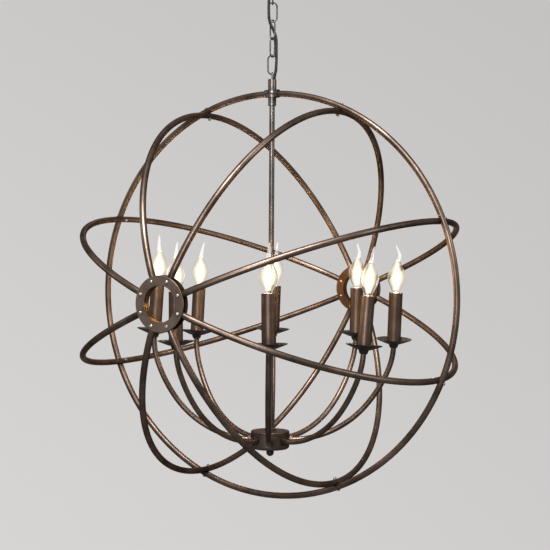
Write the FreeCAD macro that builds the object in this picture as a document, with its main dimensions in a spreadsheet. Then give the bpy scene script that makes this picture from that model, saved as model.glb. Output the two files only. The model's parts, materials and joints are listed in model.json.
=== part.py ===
import FreeCAD, Part
import Sketcher
import math
import os
import re

# An orb chandelier: eight half-ring ribs between two round hubs, an upright ring round them,
# and eight candle lamps on curved arms inside, hung on a five-link chain from a ceiling canopy.
# Millimetres. The origin is the middle of the canopy's ceiling face, +Z points up,
# and the front hub looks along -Y.

Vector = FreeCAD.Vector
Rotation = FreeCAD.Rotation
Placement = FreeCAD.Placement

LAMPS = 8
RIBS = 8
LINKS = 5

SIZES = {
    # the orb's tubes
    "orb_dia": 800,             # across the upright ring, outside
    "tube_dia": 12,
    "tube_wall": 1,
    "saddle_depth": 3,          # how far each rib is pressed in where the upright ring crosses it
    "saddle_turn": 20,          # how much of the upright ring presses it, in degrees
    "rib_bend": 80,             # radius of the bend beside each hub
    "rib_bend_start": 51,       # how far from the hub's axis that bend starts
    # hubs
    "hub_dia": 100,
    "hub_hole": 65.6,
    "plate_wall": 2,
    "edge": 0.5,                # of the bevels on plates and collars
    "core_dia": 90,
    "socket_floor": 37,         # how far from the hub's axis the tube sockets start
    "hub_screw_circle": 42,
    # screws and nuts
    "screw_dia": 4,
    "screw_head_dia": 7,
    "screw_head": 2.2,
    "nut_dia": 7,
    "nut_height": 3,
    "screw_end": 1,             # how far a screw stands out of its nut
    # top fitting
    "neck_dia": 16.4,
    "neck_height": 15.5,
    "neck_bore": 15.2,
    "neck_floor": 4.3,          # height of the narrow part at the neck's foot
    "hanger_rise": 12.5,        # from the upright ring's tube centre to the hanger's top
    "hanger_drop": 7.4,         # and to its flat bottom
    "hanger_foot_dia": 26,
    "hanger_flare": 0.7,        # share of its rise over which it narrows
    "hanger_reach": 15,
    "hanger_socket_dia": 16,
    "ring_gap_half": 8,         # from the stem's axis to each end of the upright ring
    "collar_dia": 15.8,
    "collar_height": 16,
    # hanging loops
    "loop_wire": 3.2,
    "loop_bend": 5.4,
    "loop_disc": 4.6,
    "loop_disc_dia": 14.6,
    "loop_rise": 12.6,          # from the neck's top to the loop's top bar
    "canopy_loop_reach": 17.6,  # from the canopy loop's disc to its lowest bar
    "canopy_disc": 5.7,
    "canopy_disc_dia": 16,
    # chain and cable
    "link_wire": 3,
    "link_width": 20,
    "link_length": 40.3,
    "cable_dia": 5.4,
    # ceiling fitting
    "canopy_dia": 130,
    "canopy_depth": 37,
    "canopy_rim": 5,
    "canopy_flat_dia": 52,
    "canopy_round": 42,
    "canopy_wall": 1.2,
    "shank_dia": 10,
    "shank_end": 3,             # how far below the ceiling it ends
    "canopy_collar_dia": 24,
    "canopy_collar_height": 5.7,
    "bracket_length": 110,
    "bracket_width": 18,
    "bracket_wall": 2.5,
    "bracket_step": 10,         # how far its middle hangs below the ceiling
    "bracket_middle": 60,
    "bracket_hole": 5.2,
    "bracket_hole_spacing": 90,
    "shank_nut_dia": 17,
    "shank_nut_height": 5,
    "gland_flange_dia": 13,
    "gland_flange": 2,
    "gland_dia": 9,
    "terminal_length": 22,
    "terminal_width": 17,
    "terminal_height": 11,
    "terminal_reach": 2.8,      # how far its middle is from the gland, towards the shank
    # stem and drum
    "stem_dia": 10.5,
    "stem_wall": 1,
    "drum_dia": 76,
    "drum_top": 270.3,          # depths below the orb's middle
    "drum_bottom": 302,
    "drum_wall": 1.5,
    "drum_round": 6,
    "cover_height": 3.6,
    "cover_round": 2.4,
    "cover_lip": 3,
    "cover_collar_dia": 22,
    "cover_collar_height": 5,
    "finial_dia": 15,
    "finial_pin_dia": 8.1,
    "finial_pin": 10,
    "block_dia": 27,
    "block_height": 12,
    # lamp arms: three bends, each wider or tighter than the last, that end upright
    "arm_dia": 10.5,
    "arm_wall": 1,
    "arm_drop": 284,            # depth of the arms' flat start below the orb's middle
    "arm_start": 28,            # how far from the stem's axis an arm starts
    "arm_bend_one": 195,
    "arm_bend_two": 265,
    "arm_bend_three": 137,
    "arm_turn_one": 49,
    "arm_turn_two": 18.6,
    "arm_turn_from_hub": 28.3,  # of the first arm, from the front hub
    "arm_lift_bend": 60,        # radius of the slight bend that lifts an arm
    "arm_lift_start": 2,        # how much of an arm's first bend comes before it, in degrees
    # how far each arm is turned in its hole, towards the next arm, in degrees
    "roll_1": 1.2,
    "roll_2": 3.2,
    "roll_3": -4,
    "roll_4": -0.5,
    "roll_5": 0.8,
    "roll_6": -4.2,
    "roll_7": -1.6,
    "roll_8": -1.4,
    # how far each arm is bent up beside the drum, in degrees
    "lift_1": 1.8,
    "lift_2": 0,
    "lift_3": 0,
    "lift_4": 0,
    "lift_5": 0,
    "lift_6": 0,
    "lift_7": 4.4,
    "lift_8": 1.4,
    "arm_nut_dia": 17,
    "arm_nut_outer": 6,
    "arm_nut_inner": 4,
    # lamps
    "pan_dia": 70,
    "pan_depth": 9.4,
    "pan_wall": 1.3,
    "pan_floor_dia": 29,
    "cup_dia": 20,
    "cup_foot_dia": 14.8,
    "cup_height": 8,
    "nipple_bore": 4,
    "nipple_reach": 6.5,
    "sleeve_dia": 26.5,
    "sleeve_wall": 1.2,
    "sleeve_height": 98,
    "holder_dia": 23.4,
    "holder_stem_dia": 9,
    "holder_cup": 36,
    "holder_floor": 6,
    "holder_bore": 15,
    "flange_dia": 18,
    "flange_height": 2.4,
    "bulb_dia": 35,
    "bulb_base_dia": 13.8,
    "bulb_base": 27,
    "bulb_height": 94,
    "bulb_widest": 31,          # height of its widest place above its base
    "glass_wall": 0.8,
    # how far each lamp leans from its arm's end to the right of the photograph, in degrees
    "lean_1": -2.1,
    "lean_2": 2,
    "lean_3": 1.8,
    "lean_4": 0.4,
    "lean_5": 2.6,
    "lean_6": -0.4,
    "lean_7": -1,
    "lean_8": -0.6,
    # how far each link and loop is turned from the photograph's left-right direction
    "view_turn": 30,            # that direction, from +X towards +Y
    "turn_link_1": 0,
    "turn_link_2": 60,
    "turn_link_3": -60,
    "turn_link_4": 0,
    "turn_link_5": 90,
    "turn_top_loop": 90,
    "turn_canopy_loop": 0,
    # clearances
    "seat_gap": 0.3,
    "hole_gap": 0.2,            # round a screw, pin or tube in its hole
    "lamp_gap": 0.5,            # between an arm's end and its pan, which leans on it
    "cup_gap": 0.95,            # round an arm's end in its pan's cup, for the lamp to lean
    "nipple_gap": 0.85,         # round a holder's foot in its arm's end, for the lamp to lean
    "wire_gap": 0.65,           # round a lamp's wire in its tube
}

# Where the cable runs, from the neck to the canopy: right, away from the photograph's viewer,
# and down from the ceiling. It climbs in front of the first two links' right side,
# passes through the third link and goes on in front of the last two links' left side.
CABLE_ROUTE = [
    (3.9, -2.3, -256.5),
    (3.9, -2.3, -245.2),
    (5.5, -4.8, -236.0),
    (7.0, -5.1, -227.0),
    (7.8, -5.0, -215.5),
    (7.9, -4.7, -205.0),
    (7.8, -4.5, -194.0),
    (7.7, -4.2, -182.0),
    (7.6, -3.8, -170.0),
    (6.2, -1.6, -161.5),
    (0.8, -1.7, -148.0),
    (-4.8, -3.4, -138.5),
    (-7.0, -5.1, -128.0),
    (-7.7, -4.9, -113.0),
    (-7.6, -4.9, -102.0),
    (-7.4, -5.0, -93.0),
    (-7.5, -5.3, -79.0),
    (-9.2, -6.4, -68.0),
    (-13.6, -9.0, -57.0),
    (-16.2, -10.6, -46.0),
    (-16.2, -10.6, -24.1),
]
# the runs, counted from the neck, in whose middle one piece of the cable meets the next
CABLE_JOINTS = [3, 6, 9, 12, 15]
CABLE_ARC_SHARE = 0.45
GLAND_POINT = 19

doc = FreeCAD.newDocument("OrbChandelier")
sheet = doc.addObject("Spreadsheet::Sheet", "Sizes")
for row, (alias, value) in enumerate(SIZES.items(), start=1):
    sheet.set(f"A{row}", alias)
    sheet.set(f"B{row}", str(value))
    sheet.setAlias(f"B{row}", alias)
doc.recompute()

subparts = []


def linked(expression):
    """The expression with each size's name made a reference to its cell."""
    return re.sub(r"[a-z_]\w*", lambda word: ("Sizes." if word[0] in SIZES else "") + word[0], expression)


def size(expression):
    return float(sheet.evalExpression(expression))


def bind(item, **expressions):
    for name, expression in expressions.items():
        item.setExpression(name, linked(expression))


def subpart(item, label, place=None):
    item.Label = label
    if place is not None:
        item.Placement = place
    subparts.append(item)
    return item


# ---------------------------------------------------------------- bodies from sketches

def origin_feature(body, role):
    return next(feature for feature in body.Origin.OriginFeatures if feature.Role == role)


def arc_between(start, end, radius):
    """The arc from start to end, counter-clockwise when radius is positive, and its centre's side."""
    start, end = Vector(*start, 0), Vector(*end, 0)
    chord = end - start
    rise = math.sqrt(max(radius ** 2 - (chord.Length / 2) ** 2, 0))
    left = Vector(-chord.y, chord.x, 0).normalize()
    centre = (start + end) / 2 + left * (rise if radius > 0 else -rise)
    turns = [math.atan2(point.y - centre.y, point.x - centre.x) for point in (start, end)]
    if radius < 0:
        turns.reverse()
    return Part.ArcOfCircle(Part.Circle(centre, Vector(0, 0, 1), abs(radius)), *turns)


def outline(body, plane, corners):
    """A closed sketch. A corner is (across, up), or (across, up, radius) where an arc follows it."""
    sketch = body.newObject("Sketcher::SketchObject", "Outline")
    sketch.AttachmentSupport = [(origin_feature(body, plane), "")]
    sketch.MapMode = "FlatFace"
    spots = [(size(corner[0]), size(corner[1])) for corner in corners]
    sides = []
    for number, corner in enumerate(corners):
        start, end = spots[number], spots[(number + 1) % len(spots)]
        if len(corner) == 3:
            radius = size(corner[2])
            sketch.addGeometry(arc_between(start, end, radius), False)
            sides.append((1, 2) if radius > 0 else (2, 1))
        else:
            sketch.addGeometry(Part.LineSegment(Vector(*start, 0), Vector(*end, 0)), False)
            sides.append((1, 2))
    for number, corner in enumerate(corners):
        following = (number + 1) % len(corners)
        sketch.addConstraint(
            Sketcher.Constraint("Coincident", number, sides[number][1], following, sides[following][0])
        )
        for kind, expression, length in zip(("DistanceX", "DistanceY"), corner, spots[number]):
            dimension = sketch.addConstraint(
                Sketcher.Constraint(kind, -1, 1, number, sides[number][0], length)
            )
            sketch.setExpression(f"Constraints[{dimension}]", linked(expression))
        if len(corner) == 3:
            dimension = sketch.addConstraint(
                Sketcher.Constraint("Radius", number, abs(size(corner[2])))
            )
            sketch.setExpression(f"Constraints[{dimension}]", linked(f"abs({corner[2]})"))
    return sketch


def turned(name, corners):
    """A body turned about its own upright axis from an outline of (radius, height) corners."""
    body = doc.addObject("PartDesign::Body", name)
    sketch = outline(body, "XZ_Plane", corners)
    revolution = body.newObject("PartDesign::Revolution", "Turning")
    revolution.Profile = sketch
    revolution.ReferenceAxis = (sketch, ["V_Axis"])
    revolution.Angle = 360
    sketch.Visibility = False
    return body


def drilled(body, radius, depth, start, direction):
    """A round hole in the body from start along direction."""
    hole = body.newObject("PartDesign::SubtractiveCylinder", "Drilling")
    bind(hole, Radius=radius, Height=depth)
    hole.Placement = Placement(start, Rotation(Vector(0, 0, 1), direction))
    return hole


def repeated(body, feature, count, role="Z_Axis"):
    """The feature, count times round one of the body's own axes."""
    pattern = body.newObject("PartDesign::PolarPattern", "Round")
    pattern.Originals = [feature]
    pattern.Axis = (origin_feature(body, role), [""])
    pattern.Angle = 360
    pattern.Occurrences = count
    body.Tip = pattern
    return pattern


# ---------------------------------------------------------------- solids from primitives

def cylinder(radius, height, start=Vector(), direction=Vector(0, 0, 1)):
    item = doc.addObject("Part::Cylinder", "Cylinder")
    bind(item, Radius=radius, Height=height)
    item.Placement = Placement(start, Rotation(Vector(0, 0, 1), direction))
    return item


def fused(name, items):
    if len(items) == 1:
        return items[0]
    item = doc.addObject("Part::MultiFuse", name)
    item.Shapes = items
    item.Refine = True
    return item


def cut(name, base, tools):
    item = doc.addObject("Part::Cut", name)
    item.Base = base
    item.Tool = fused(name + "_cuts", tools)
    return item


def grouped(label, items):
    item = doc.addObject("Part::Compound", label)
    item.Links = items
    return subpart(item, label)


def heading_vector(heading):
    """The direction in the XZ plane that is heading degrees up from X."""
    return Vector(math.cos(math.radians(heading)), 0, math.sin(math.radians(heading)))


def bend_centre(step, spot, heading):
    side = math.copysign(1, size(step[1]))
    return spot + heading_vector(heading + 90) * side * size(step[0])


def after_step(step, spot, heading):
    """Where a rod's step ends, and its heading there."""
    if len(step) == 1:
        return spot + heading_vector(heading) * size(step[0]), heading
    centre = bend_centre(step, spot, heading)
    turn = size(step[1])
    back = heading_vector(heading + turn - 90) * math.copysign(1, turn)
    return centre + back * size(step[0]), heading + turn


def rod(name, radius, steps, start=(0, 0), heading=0):
    """A round rod in its own XZ plane. A step is (length,) or (bend radius, turn), and a turn to
    the left is positive."""
    spot = Vector(start[0], 0, start[1])
    pieces = []
    for step in steps:
        along = heading_vector(heading)
        if len(step) == 1:
            pieces.append(cylinder(radius, step[0], spot, along))
        else:
            torus = doc.addObject("Part::Torus", "Bend")
            bind(torus, Radius1=step[0], Radius2=radius, Angle3=f"abs({step[1]})")
            centre = bend_centre(step, spot, heading)
            outward = (spot - centre).normalize()
            facing = Rotation(outward, along, outward.cross(along), "XYZ")
            torus.Placement = Placement(centre, facing)
            pieces.append(torus)
        spot, heading = after_step(step, spot, heading)
    return fused(name, pieces)


# ---------------------------------------------------------------- places

gap = size("seat_gap")
view_right = Rotation(Vector(0, 0, 1), size("view_turn")).multVec(Vector(1, 0, 0))
view_away = Vector(-view_right.y, view_right.x, 0)

link_span = size("link_length - link_wire")
canopy_bar = -size("canopy_depth + canopy_collar_height + canopy_disc + canopy_loop_reach + 2 * seat_gap")
# the middle of each link's lowest bar, from the top link down
lowest_bars = [canopy_bar]
for number in range(LINKS):
    upper_wire = size("loop_wire") if number == 0 else size("link_wire")
    lowest_bars.append(lowest_bars[-1] + (upper_wire + size("link_wire")) / 2 + gap - link_span)
top_loop_bar = lowest_bars[-1] + size("link_wire + loop_wire") / 2 + gap
neck_top = top_loop_bar - size("loop_rise")
neck_foot = neck_top - size("neck_height")
hanger_top = neck_foot - gap
ring_radius = "(orb_dia / 2 - tube_dia / 2)"
rib_radius = f"({ring_radius} - tube_dia + saddle_depth - seat_gap)"
ring_top = hanger_top - size("hanger_rise")
orb_height = ring_top - size(ring_radius)
orb_middle = Vector(0, 0, orb_height)


def turned_about_z(angle, spot):
    return Placement(spot, Rotation(Vector(0, 0, 1), angle))


# ---------------------------------------------------------------- ceiling fitting

def ceiling_bracket():
    """A strip whose ends lie on the ceiling and whose middle hangs below it."""
    body = doc.addObject("PartDesign::Body", "ceiling_bracket")
    end, middle = "bracket_length / 2", "bracket_middle / 2"
    sketch = outline(body, "XZ_Plane", [
        (f"-{end}", "0"),
        (f"-{end}", "-bracket_wall"),
        (f"-{middle}", "-bracket_wall"),
        (f"-{middle}", "-bracket_step - bracket_wall"),
        (middle, "-bracket_step - bracket_wall"),
        (middle, "-bracket_wall"),
        (end, "-bracket_wall"),
        (end, "0"),
        (f"{middle} - bracket_wall", "0"),
        (f"{middle} - bracket_wall", "-bracket_step"),
        (f"-{middle} + bracket_wall", "-bracket_step"),
        (f"-{middle} + bracket_wall", "0"),
    ])
    pad = body.newObject("PartDesign::Pad", "Strip")
    pad.Profile = sketch
    pad.Midplane = True
    bind(pad, Length="bracket_width")
    down = Vector(0, 0, -1)
    drilled(body, "shank_dia / 2 + hole_gap", "bracket_step + 2 * bracket_wall", Vector(), down)
    for side in (-1, 1):
        spot = Vector(side * size("bracket_hole_spacing / 2"), 0, size("bracket_wall"))
        drilled(body, "bracket_hole / 2", "3 * bracket_wall", spot, down)
    subpart(body, "ceiling_bracket")


def canopy():
    """A shallow dish, open at the ceiling, with holes for the loop's shank and the cable's gland."""
    outer, inner, flat = "canopy_dia / 2", "(canopy_dia / 2 - canopy_wall)", "canopy_flat_dia / 2"
    hole = "(shank_dia / 2 + hole_gap)"
    body = turned("canopy", [
        (hole, "-canopy_depth"),
        (flat, "-canopy_depth", "canopy_round"),
        (outer, "-canopy_rim"),
        (outer, "0"),
        (inner, "0"),
        (inner, "-canopy_rim", "-(canopy_round - canopy_wall)"),
        (flat, "-canopy_depth + canopy_wall"),
        (hole, "-canopy_depth + canopy_wall"),
    ])
    start = gland_spot - Vector(0, 0, size("canopy_wall"))
    drilled(body, "gland_dia / 2 + hole_gap", "3 * canopy_wall", start, Vector(0, 0, 1))
    subpart(body, "canopy")


def cable_gland():
    """A bush that guards the cable where it enters the canopy."""
    bore = "(cable_dia / 2 + hole_gap)"
    body = turned("cable_gland", [
        (bore, "-gland_flange - seat_gap"),
        ("gland_flange_dia / 2", "-gland_flange - seat_gap"),
        ("gland_flange_dia / 2", "-seat_gap"),
        ("gland_dia / 2", "-seat_gap"),
        ("gland_dia / 2", "2 * canopy_wall"),
        (bore, "2 * canopy_wall"),
    ])
    subpart(body, "cable_gland", Placement(gland_spot, Rotation()))


def canopy_loop():
    """An upside-down bail under a disc whose threaded shank goes up to the bracket."""
    disc_foot = size("canopy_collar_height + canopy_disc + 2 * seat_gap")
    leg = "(canopy_loop_reach - loop_bend)"
    bail = rod("Bail", "loop_wire / 2", [(leg,), ("loop_bend", "180"), (leg,)],
               (-size("loop_bend"), -disc_foot), -90)
    disc = cylinder("canopy_disc_dia / 2", "canopy_disc", Vector(0, 0, -disc_foot))
    shank = cylinder("shank_dia / 2", f"canopy_depth + {disc_foot} - shank_end", Vector(0, 0, -disc_foot))
    place = turned_about_z(size("view_turn + turn_canopy_loop"), Vector(0, 0, -size("canopy_depth")))
    subpart(fused("canopy_loop", [bail, disc, shank]), "canopy_loop", place)


def shank_rings():
    """The collar that holds the canopy up, and the nut on the bracket that carries the loop."""
    bore = "(shank_dia / 2 + hole_gap)"
    collar = turned("canopy_collar", [
        (bore, "0"),
        ("canopy_collar_dia / 2 - 2 * edge", "0"),
        ("canopy_collar_dia / 2", "2 * edge"),
        ("canopy_collar_dia / 2", "canopy_collar_height"),
        (bore, "canopy_collar_height"),
    ])
    foot = -size("canopy_depth + canopy_collar_height + seat_gap")
    subpart(collar, "canopy_collar", Placement(Vector(0, 0, foot), Rotation()))
    nut = turned("loop_nut", [
        (bore, "0"),
        ("shank_nut_dia / 2", "0"),
        ("shank_nut_dia / 2", "shank_nut_height"),
        (bore, "shank_nut_height"),
    ])
    subpart(nut, "loop_nut", Placement(Vector(0, 0, gap - size("bracket_step")), Rotation()))


def terminal_block():
    """The block over the gland in which the cable's cores meet the house's."""
    item = doc.addObject("Part::Box", "terminal_block")
    bind(item, Length="terminal_length", Width="terminal_width", Height="terminal_height")
    top = -size("bracket_step + bracket_wall + seat_gap")
    middle = gland_spot + Vector(0, size("terminal_reach"), 0)
    spot = Vector(
        middle.x - size("terminal_length") / 2,
        middle.y - size("terminal_width") / 2,
        top - size("terminal_height"),
    )
    subpart(item, "terminal_block", Placement(spot, Rotation()))


# ---------------------------------------------------------------- chain and cable

def chain():
    """Oval links, each hung in the one above and turned across it."""
    bend = "(link_width / 2 - link_wire / 2)"
    side = f"(link_length - link_wire - 2 * {bend})"
    for number in range(LINKS, 0, -1):
        lowest = lowest_bars[LINKS + 1 - number]
        start = (size(bend), size(bend))
        link = rod(f"chain_link_{number}", "link_wire / 2",
                   [(side,), (bend, "180"), (side,), (bend, "180")], start, 90)
        turn = size(f"view_turn + turn_link_{number}")
        subpart(link, f"chain_link_{number}", turned_about_z(turn, Vector(0, 0, lowest)))


def in_room(point):
    right, away, up = point
    return view_right * right + view_away * away + Vector(0, 0, up)


def cable():
    """A round cable along straight runs and tangent arcs, cut into one piece for each joint."""
    points = [in_room(point) for point in CABLE_ROUTE]
    runs = [(end - start).Length for start, end in zip(points, points[1:])]
    pieces = [[]]
    spot = points[0]
    radii = []
    for number in range(1, len(points)):
        if number - 1 in CABLE_JOINTS:
            middle = (points[number - 1] + points[number]) / 2
            pieces[-1].append(Part.LineSegment(spot, middle).toShape())
            pieces.append([])
            spot = middle
        if number == len(points) - 1:
            break
        before = (points[number] - points[number - 1]).normalize()
        after = (points[number + 1] - points[number]).normalize()
        half_turn = before.getAngle(after) / 2
        reach = CABLE_ARC_SHARE * min(runs[number - 1], runs[number])
        radii.append(reach / math.tan(half_turn))
        start, end = points[number] - before * reach, points[number] + after * reach
        towards = (after - before).normalize()
        inset = radii[-1] / math.cos(half_turn) - radii[-1]
        pieces[-1].append(Part.LineSegment(spot, start).toShape())
        pieces[-1].append(Part.Arc(start, points[number] + towards * inset, end).toShape())
        spot = end
    pieces[-1].append(Part.LineSegment(spot, points[-1]).toShape())
    print("cable radii, mm:", ", ".join(f"{radius:.0f}" for radius in radii))
    for number, edges in enumerate(pieces, start=1):
        path = Part.Wire(edges)
        first = edges[0]
        along = first.tangentAt(first.FirstParameter)
        circle = Part.Circle(first.valueAt(first.FirstParameter), along, size("cable_dia / 2"))
        item = doc.addObject("Part::Feature", f"cable_{number}")
        item.Shape = path.makePipeShell([Part.Wire(circle.toShape())], True, False)
        subpart(item, f"cable_{number}")
        section = math.pi * size("cable_dia / 2") ** 2
        print(f"cable_{number}: length {path.Length:.1f} mm, volume {item.Shape.Volume:.0f} mm3,",
              f"section times length {section * path.Length:.0f} mm3")


# ---------------------------------------------------------------- top fitting

def top_loop():
    """A bail on a disc in the neck, with a notch through which the cable goes down."""
    disc_foot = -size("neck_height - neck_floor - seat_gap")
    disc_top = disc_foot + size("loop_disc")
    leg = f"(loop_rise - loop_bend - ({disc_top}))"
    bail = rod("Bail", "loop_wire / 2", [(leg,), ("loop_bend", "180"), (leg,)],
               (size("loop_bend"), disc_top), 90)
    disc = cylinder("loop_disc_dia / 2", "loop_disc", Vector(0, 0, disc_foot))
    whole = fused("LoopOnDisc", [bail, disc])
    turn = size("view_turn + turn_top_loop")
    place = turned_about_z(turn, Vector(0, 0, neck_top))
    spot = place.inverse().multVec(in_room(CABLE_ROUTE[0]))
    spot.z = disc_foot - 1
    notch = cylinder("cable_dia / 2 + hole_gap", "loop_disc + 2", spot)
    subpart(cut("top_loop", whole, [notch]), "top_loop", place)


def neck():
    bore, top = "(stem_dia / 2 + hole_gap)", "neck_height"
    body = turned("top_neck", [
        (bore, "0"),
        ("neck_dia / 2", "0"),
        ("neck_dia / 2", f"{top} - edge"),
        ("neck_dia / 2 - edge", top),
        ("neck_bore / 2", top),
        ("neck_bore / 2", "neck_floor"),
        (bore, "neck_floor"),
    ])
    subpart(body, "top_neck", Placement(Vector(0, 0, neck_foot), Rotation()))


def ring_hanger():
    """A flared block round the stem with a socket on each side for the upright ring's ends."""
    bore, foot = "(stem_dia / 2 + hole_gap)", "hanger_foot_dia / 2"
    body = turned("ring_hanger", [
        (bore, "-hanger_drop"),
        (foot, "-hanger_drop"),
        (foot, "-hanger_drop / 4", "-hanger_rise"),
        ("neck_dia / 2", "hanger_flare * hanger_rise"),
        ("neck_dia / 2", "hanger_rise"),
        (bore, "hanger_rise"),
    ])
    reach = size("hanger_reach")
    socket = body.newObject("PartDesign::AdditiveCylinder", "Sockets")
    bind(socket, Radius="hanger_socket_dia / 2", Height="2 * hanger_reach")
    socket.Placement = Placement(Vector(-reach, 0, 0), Rotation(Vector(0, 0, 1), Vector(1, 0, 0)))
    flat = body.newObject("PartDesign::SubtractiveBox", "FlatBottom")
    bind(flat, Length="3 * hanger_reach", Width="3 * hanger_reach", Height="hanger_socket_dia")
    depth = -size("hanger_drop + hanger_socket_dia")
    flat.Placement = Placement(Vector(-1.5 * reach, -1.5 * reach, depth), Rotation())
    drilled(body, bore, "3 * hanger_rise", Vector(0, 0, -size("1.5 * hanger_rise")), Vector(0, 0, 1))
    for side in (-1, 1):
        start = Vector(side * size("ring_gap_half - 2 * seat_gap"), 0, 0)
        drilled(body, "tube_dia / 2 + seat_gap + hole_gap", "hanger_reach", start, Vector(side, 0, 0))
    subpart(body, "ring_hanger", Placement(Vector(0, 0, ring_top), Rotation()))


def lower_collar():
    bore = "(stem_dia / 2 + hole_gap)"
    body = turned("lower_collar", [
        (bore, "0"),
        ("collar_dia / 2 - edge", "0"),
        ("collar_dia / 2", "edge"),
        ("collar_dia / 2", "collar_height"),
        (bore, "collar_height"),
    ])
    foot = ring_top - size("hanger_drop + seat_gap + collar_height")
    subpart(body, "lower_collar", Placement(Vector(0, 0, foot), Rotation()))


# ---------------------------------------------------------------- the orb

def equator_ring():
    """The upright ring, a tube whose two ends stand in the hanger's sockets."""
    gap_turn = 2 * math.degrees(math.asin(size("ring_gap_half") / size(ring_radius)))
    start = Rotation(Vector(0, 1, 0), gap_turn / 2).multVec(Vector(0, 0, size(ring_radius)))
    tubes = []
    for radius in ("tube_dia / 2", "tube_dia / 2 - tube_wall"):
        tubes.append(rod("RingTube", radius, [(ring_radius, f"-(360 - {gap_turn})")],
                         (start.x, start.z), -gap_turn / 2))
    holes = []
    for number in range(RIBS):
        outward = rib_direction(number)
        start = outward * (size(ring_radius) - size("tube_dia"))
        holes.append(cylinder("screw_dia / 2 + hole_gap", "2 * tube_dia", start, outward))
    ring = cut("equator_ring", tubes[0], [tubes[1], *holes])
    subpart(ring, "equator_ring", Placement(orb_middle, Rotation()))


def rib_direction(number):
    turn = math.radians(360 / RIBS * (number + 0.5))
    return Vector(math.sin(turn), 0, math.cos(turn))


bend_turn = f"(asin(rib_bend_start / ({rib_radius} - rib_bend)) / 1 deg)"
hub_depth = size(f"rib_bend + ({rib_radius} - rib_bend) * cos({bend_turn})")


def ribs():
    """Half rings from hub to hub, each pressed in where the upright ring lies on it."""
    start = size("socket_floor + seat_gap")
    steps = [
        (f"(rib_bend_start - {start})",),
        ("rib_bend", bend_turn),
        (rib_radius, f"(180 - 2 * {bend_turn})"),
        ("rib_bend", bend_turn),
        (f"(rib_bend_start - {start})",),
    ]
    for number in range(RIBS):
        layers = []
        for wall in ("0", "tube_wall"):
            tube = rod("RibTube", f"tube_dia / 2 - {wall}", steps, (start, -hub_depth))
            press = doc.addObject("Part::Torus", "Saddle")
            press_radius = f"tube_dia / 2 + seat_gap + {wall}"
            bind(press, Radius1=ring_radius, Radius2=press_radius, Angle3="saddle_turn")
            press.Placement = turned_about_z(-size("saddle_turn / 2"), Vector())
            layers.append(cut("RibLayer", tube, [press]))
        inside = Vector(size(f"{rib_radius} - tube_dia"), 0, 0)
        holes = [cylinder("screw_dia / 2 + hole_gap", "2 * tube_dia", inside, Vector(1, 0, 0))]
        for end in (-hub_depth, hub_depth):
            spot = Vector(size("hub_screw_circle"), 0, end - size("tube_dia"))
            holes.append(cylinder("screw_dia / 2 + hole_gap", "2 * tube_dia", spot))
        label = f"orb_rib_{number + 1}"
        outward = rib_direction(number)
        along = Vector(0, 1, 0)
        place = Placement(orb_middle, Rotation(outward, along.cross(outward), along, "XYZ"))
        subpart(cut(label, layers[0], [layers[1], *holes]), label, place)


def screw(name, shank):
    """A screw with a low round head. Its shank hangs below the head's underside."""
    return turned(name, [
        ("0", f"-({shank})"),
        ("screw_dia / 2", f"-({shank})"),
        ("screw_dia / 2", "0"),
        ("screw_head_dia / 2", "0"),
        ("screw_head_dia / 2", "0.3 * screw_head"),
        ("0.6 * screw_head_dia / 2", "0.92 * screw_head"),
        ("0", "screw_head"),
    ])


def hubs():
    """At each end a ring of tube sockets between two flat rings, held together by eight screws."""
    half = "(tube_dia / 2 + seat_gap)"
    up = Vector(0, 0, 1)
    screws = []
    for side, side_name in ((-1, "front"), (1, "rear")):
        facing = Rotation(Vector(0, 0, 1), Vector(0, side, 0))
        middle = orb_middle + Vector(0, side * hub_depth, 0)
        outward = Vector(0, side, 0)
        screw_spots = [facing.inverted().multVec(rib_direction(number)) * size("hub_screw_circle")
                       for number in range(RIBS)]
        for place_name, away in (("outer", 1), ("inner", -1)):
            plate = turned(f"{side_name}_hub_{place_name}_plate", [
                ("hub_hole / 2", "0"),
                ("hub_dia / 2", "0"),
                ("hub_dia / 2", "plate_wall - edge"),
                ("hub_dia / 2 - edge", "plate_wall"),
                ("hub_hole / 2", "plate_wall"),
            ])
            start = screw_spots[0] - up * size("plate_wall")
            hole = drilled(plate, "screw_dia / 2 + hole_gap", "3 * plate_wall", start, up)
            repeated(plate, hole, RIBS)
            # the inner plate is turned over about its own X, and its holes are even about that line
            turn = facing if away == 1 else facing.multiply(Rotation(Vector(1, 0, 0), 180))
            spot = middle + outward * away * size(half)
            subpart(plate, f"{side_name}_hub_{place_name}_plate", Placement(spot, turn))
        core = turned(f"{side_name}_hub_core", [
            ("hub_hole / 2", "-tube_dia / 2"),
            ("core_dia / 2", "-tube_dia / 2"),
            ("core_dia / 2", "tube_dia / 2"),
            ("hub_hole / 2", "tube_dia / 2"),
        ])
        direction = facing.inverted().multVec(rib_direction(0))
        start = direction * size("socket_floor")
        socket = drilled(core, "tube_dia / 2 + seat_gap / 2", "core_dia", start, direction)
        repeated(core, socket, RIBS)
        start = screw_spots[0] - up * size("tube_dia")
        hole = drilled(core, "screw_dia / 2 + hole_gap", "2 * tube_dia", start, up)
        repeated(core, hole, RIBS)
        subpart(core, f"{side_name}_hub_core", Placement(middle, facing))
        seat = middle + outward * (size(f"{half} + plate_wall") + gap / 2)
        for number in range(RIBS):
            item = screw("HubScrew", f"2 * {half} + 2 * plate_wall + seat_gap")
            item.Placement = Placement(seat + facing.multVec(screw_spots[number]), facing)
            screws.append(item)
    grouped("hub_screws", screws)


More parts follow.
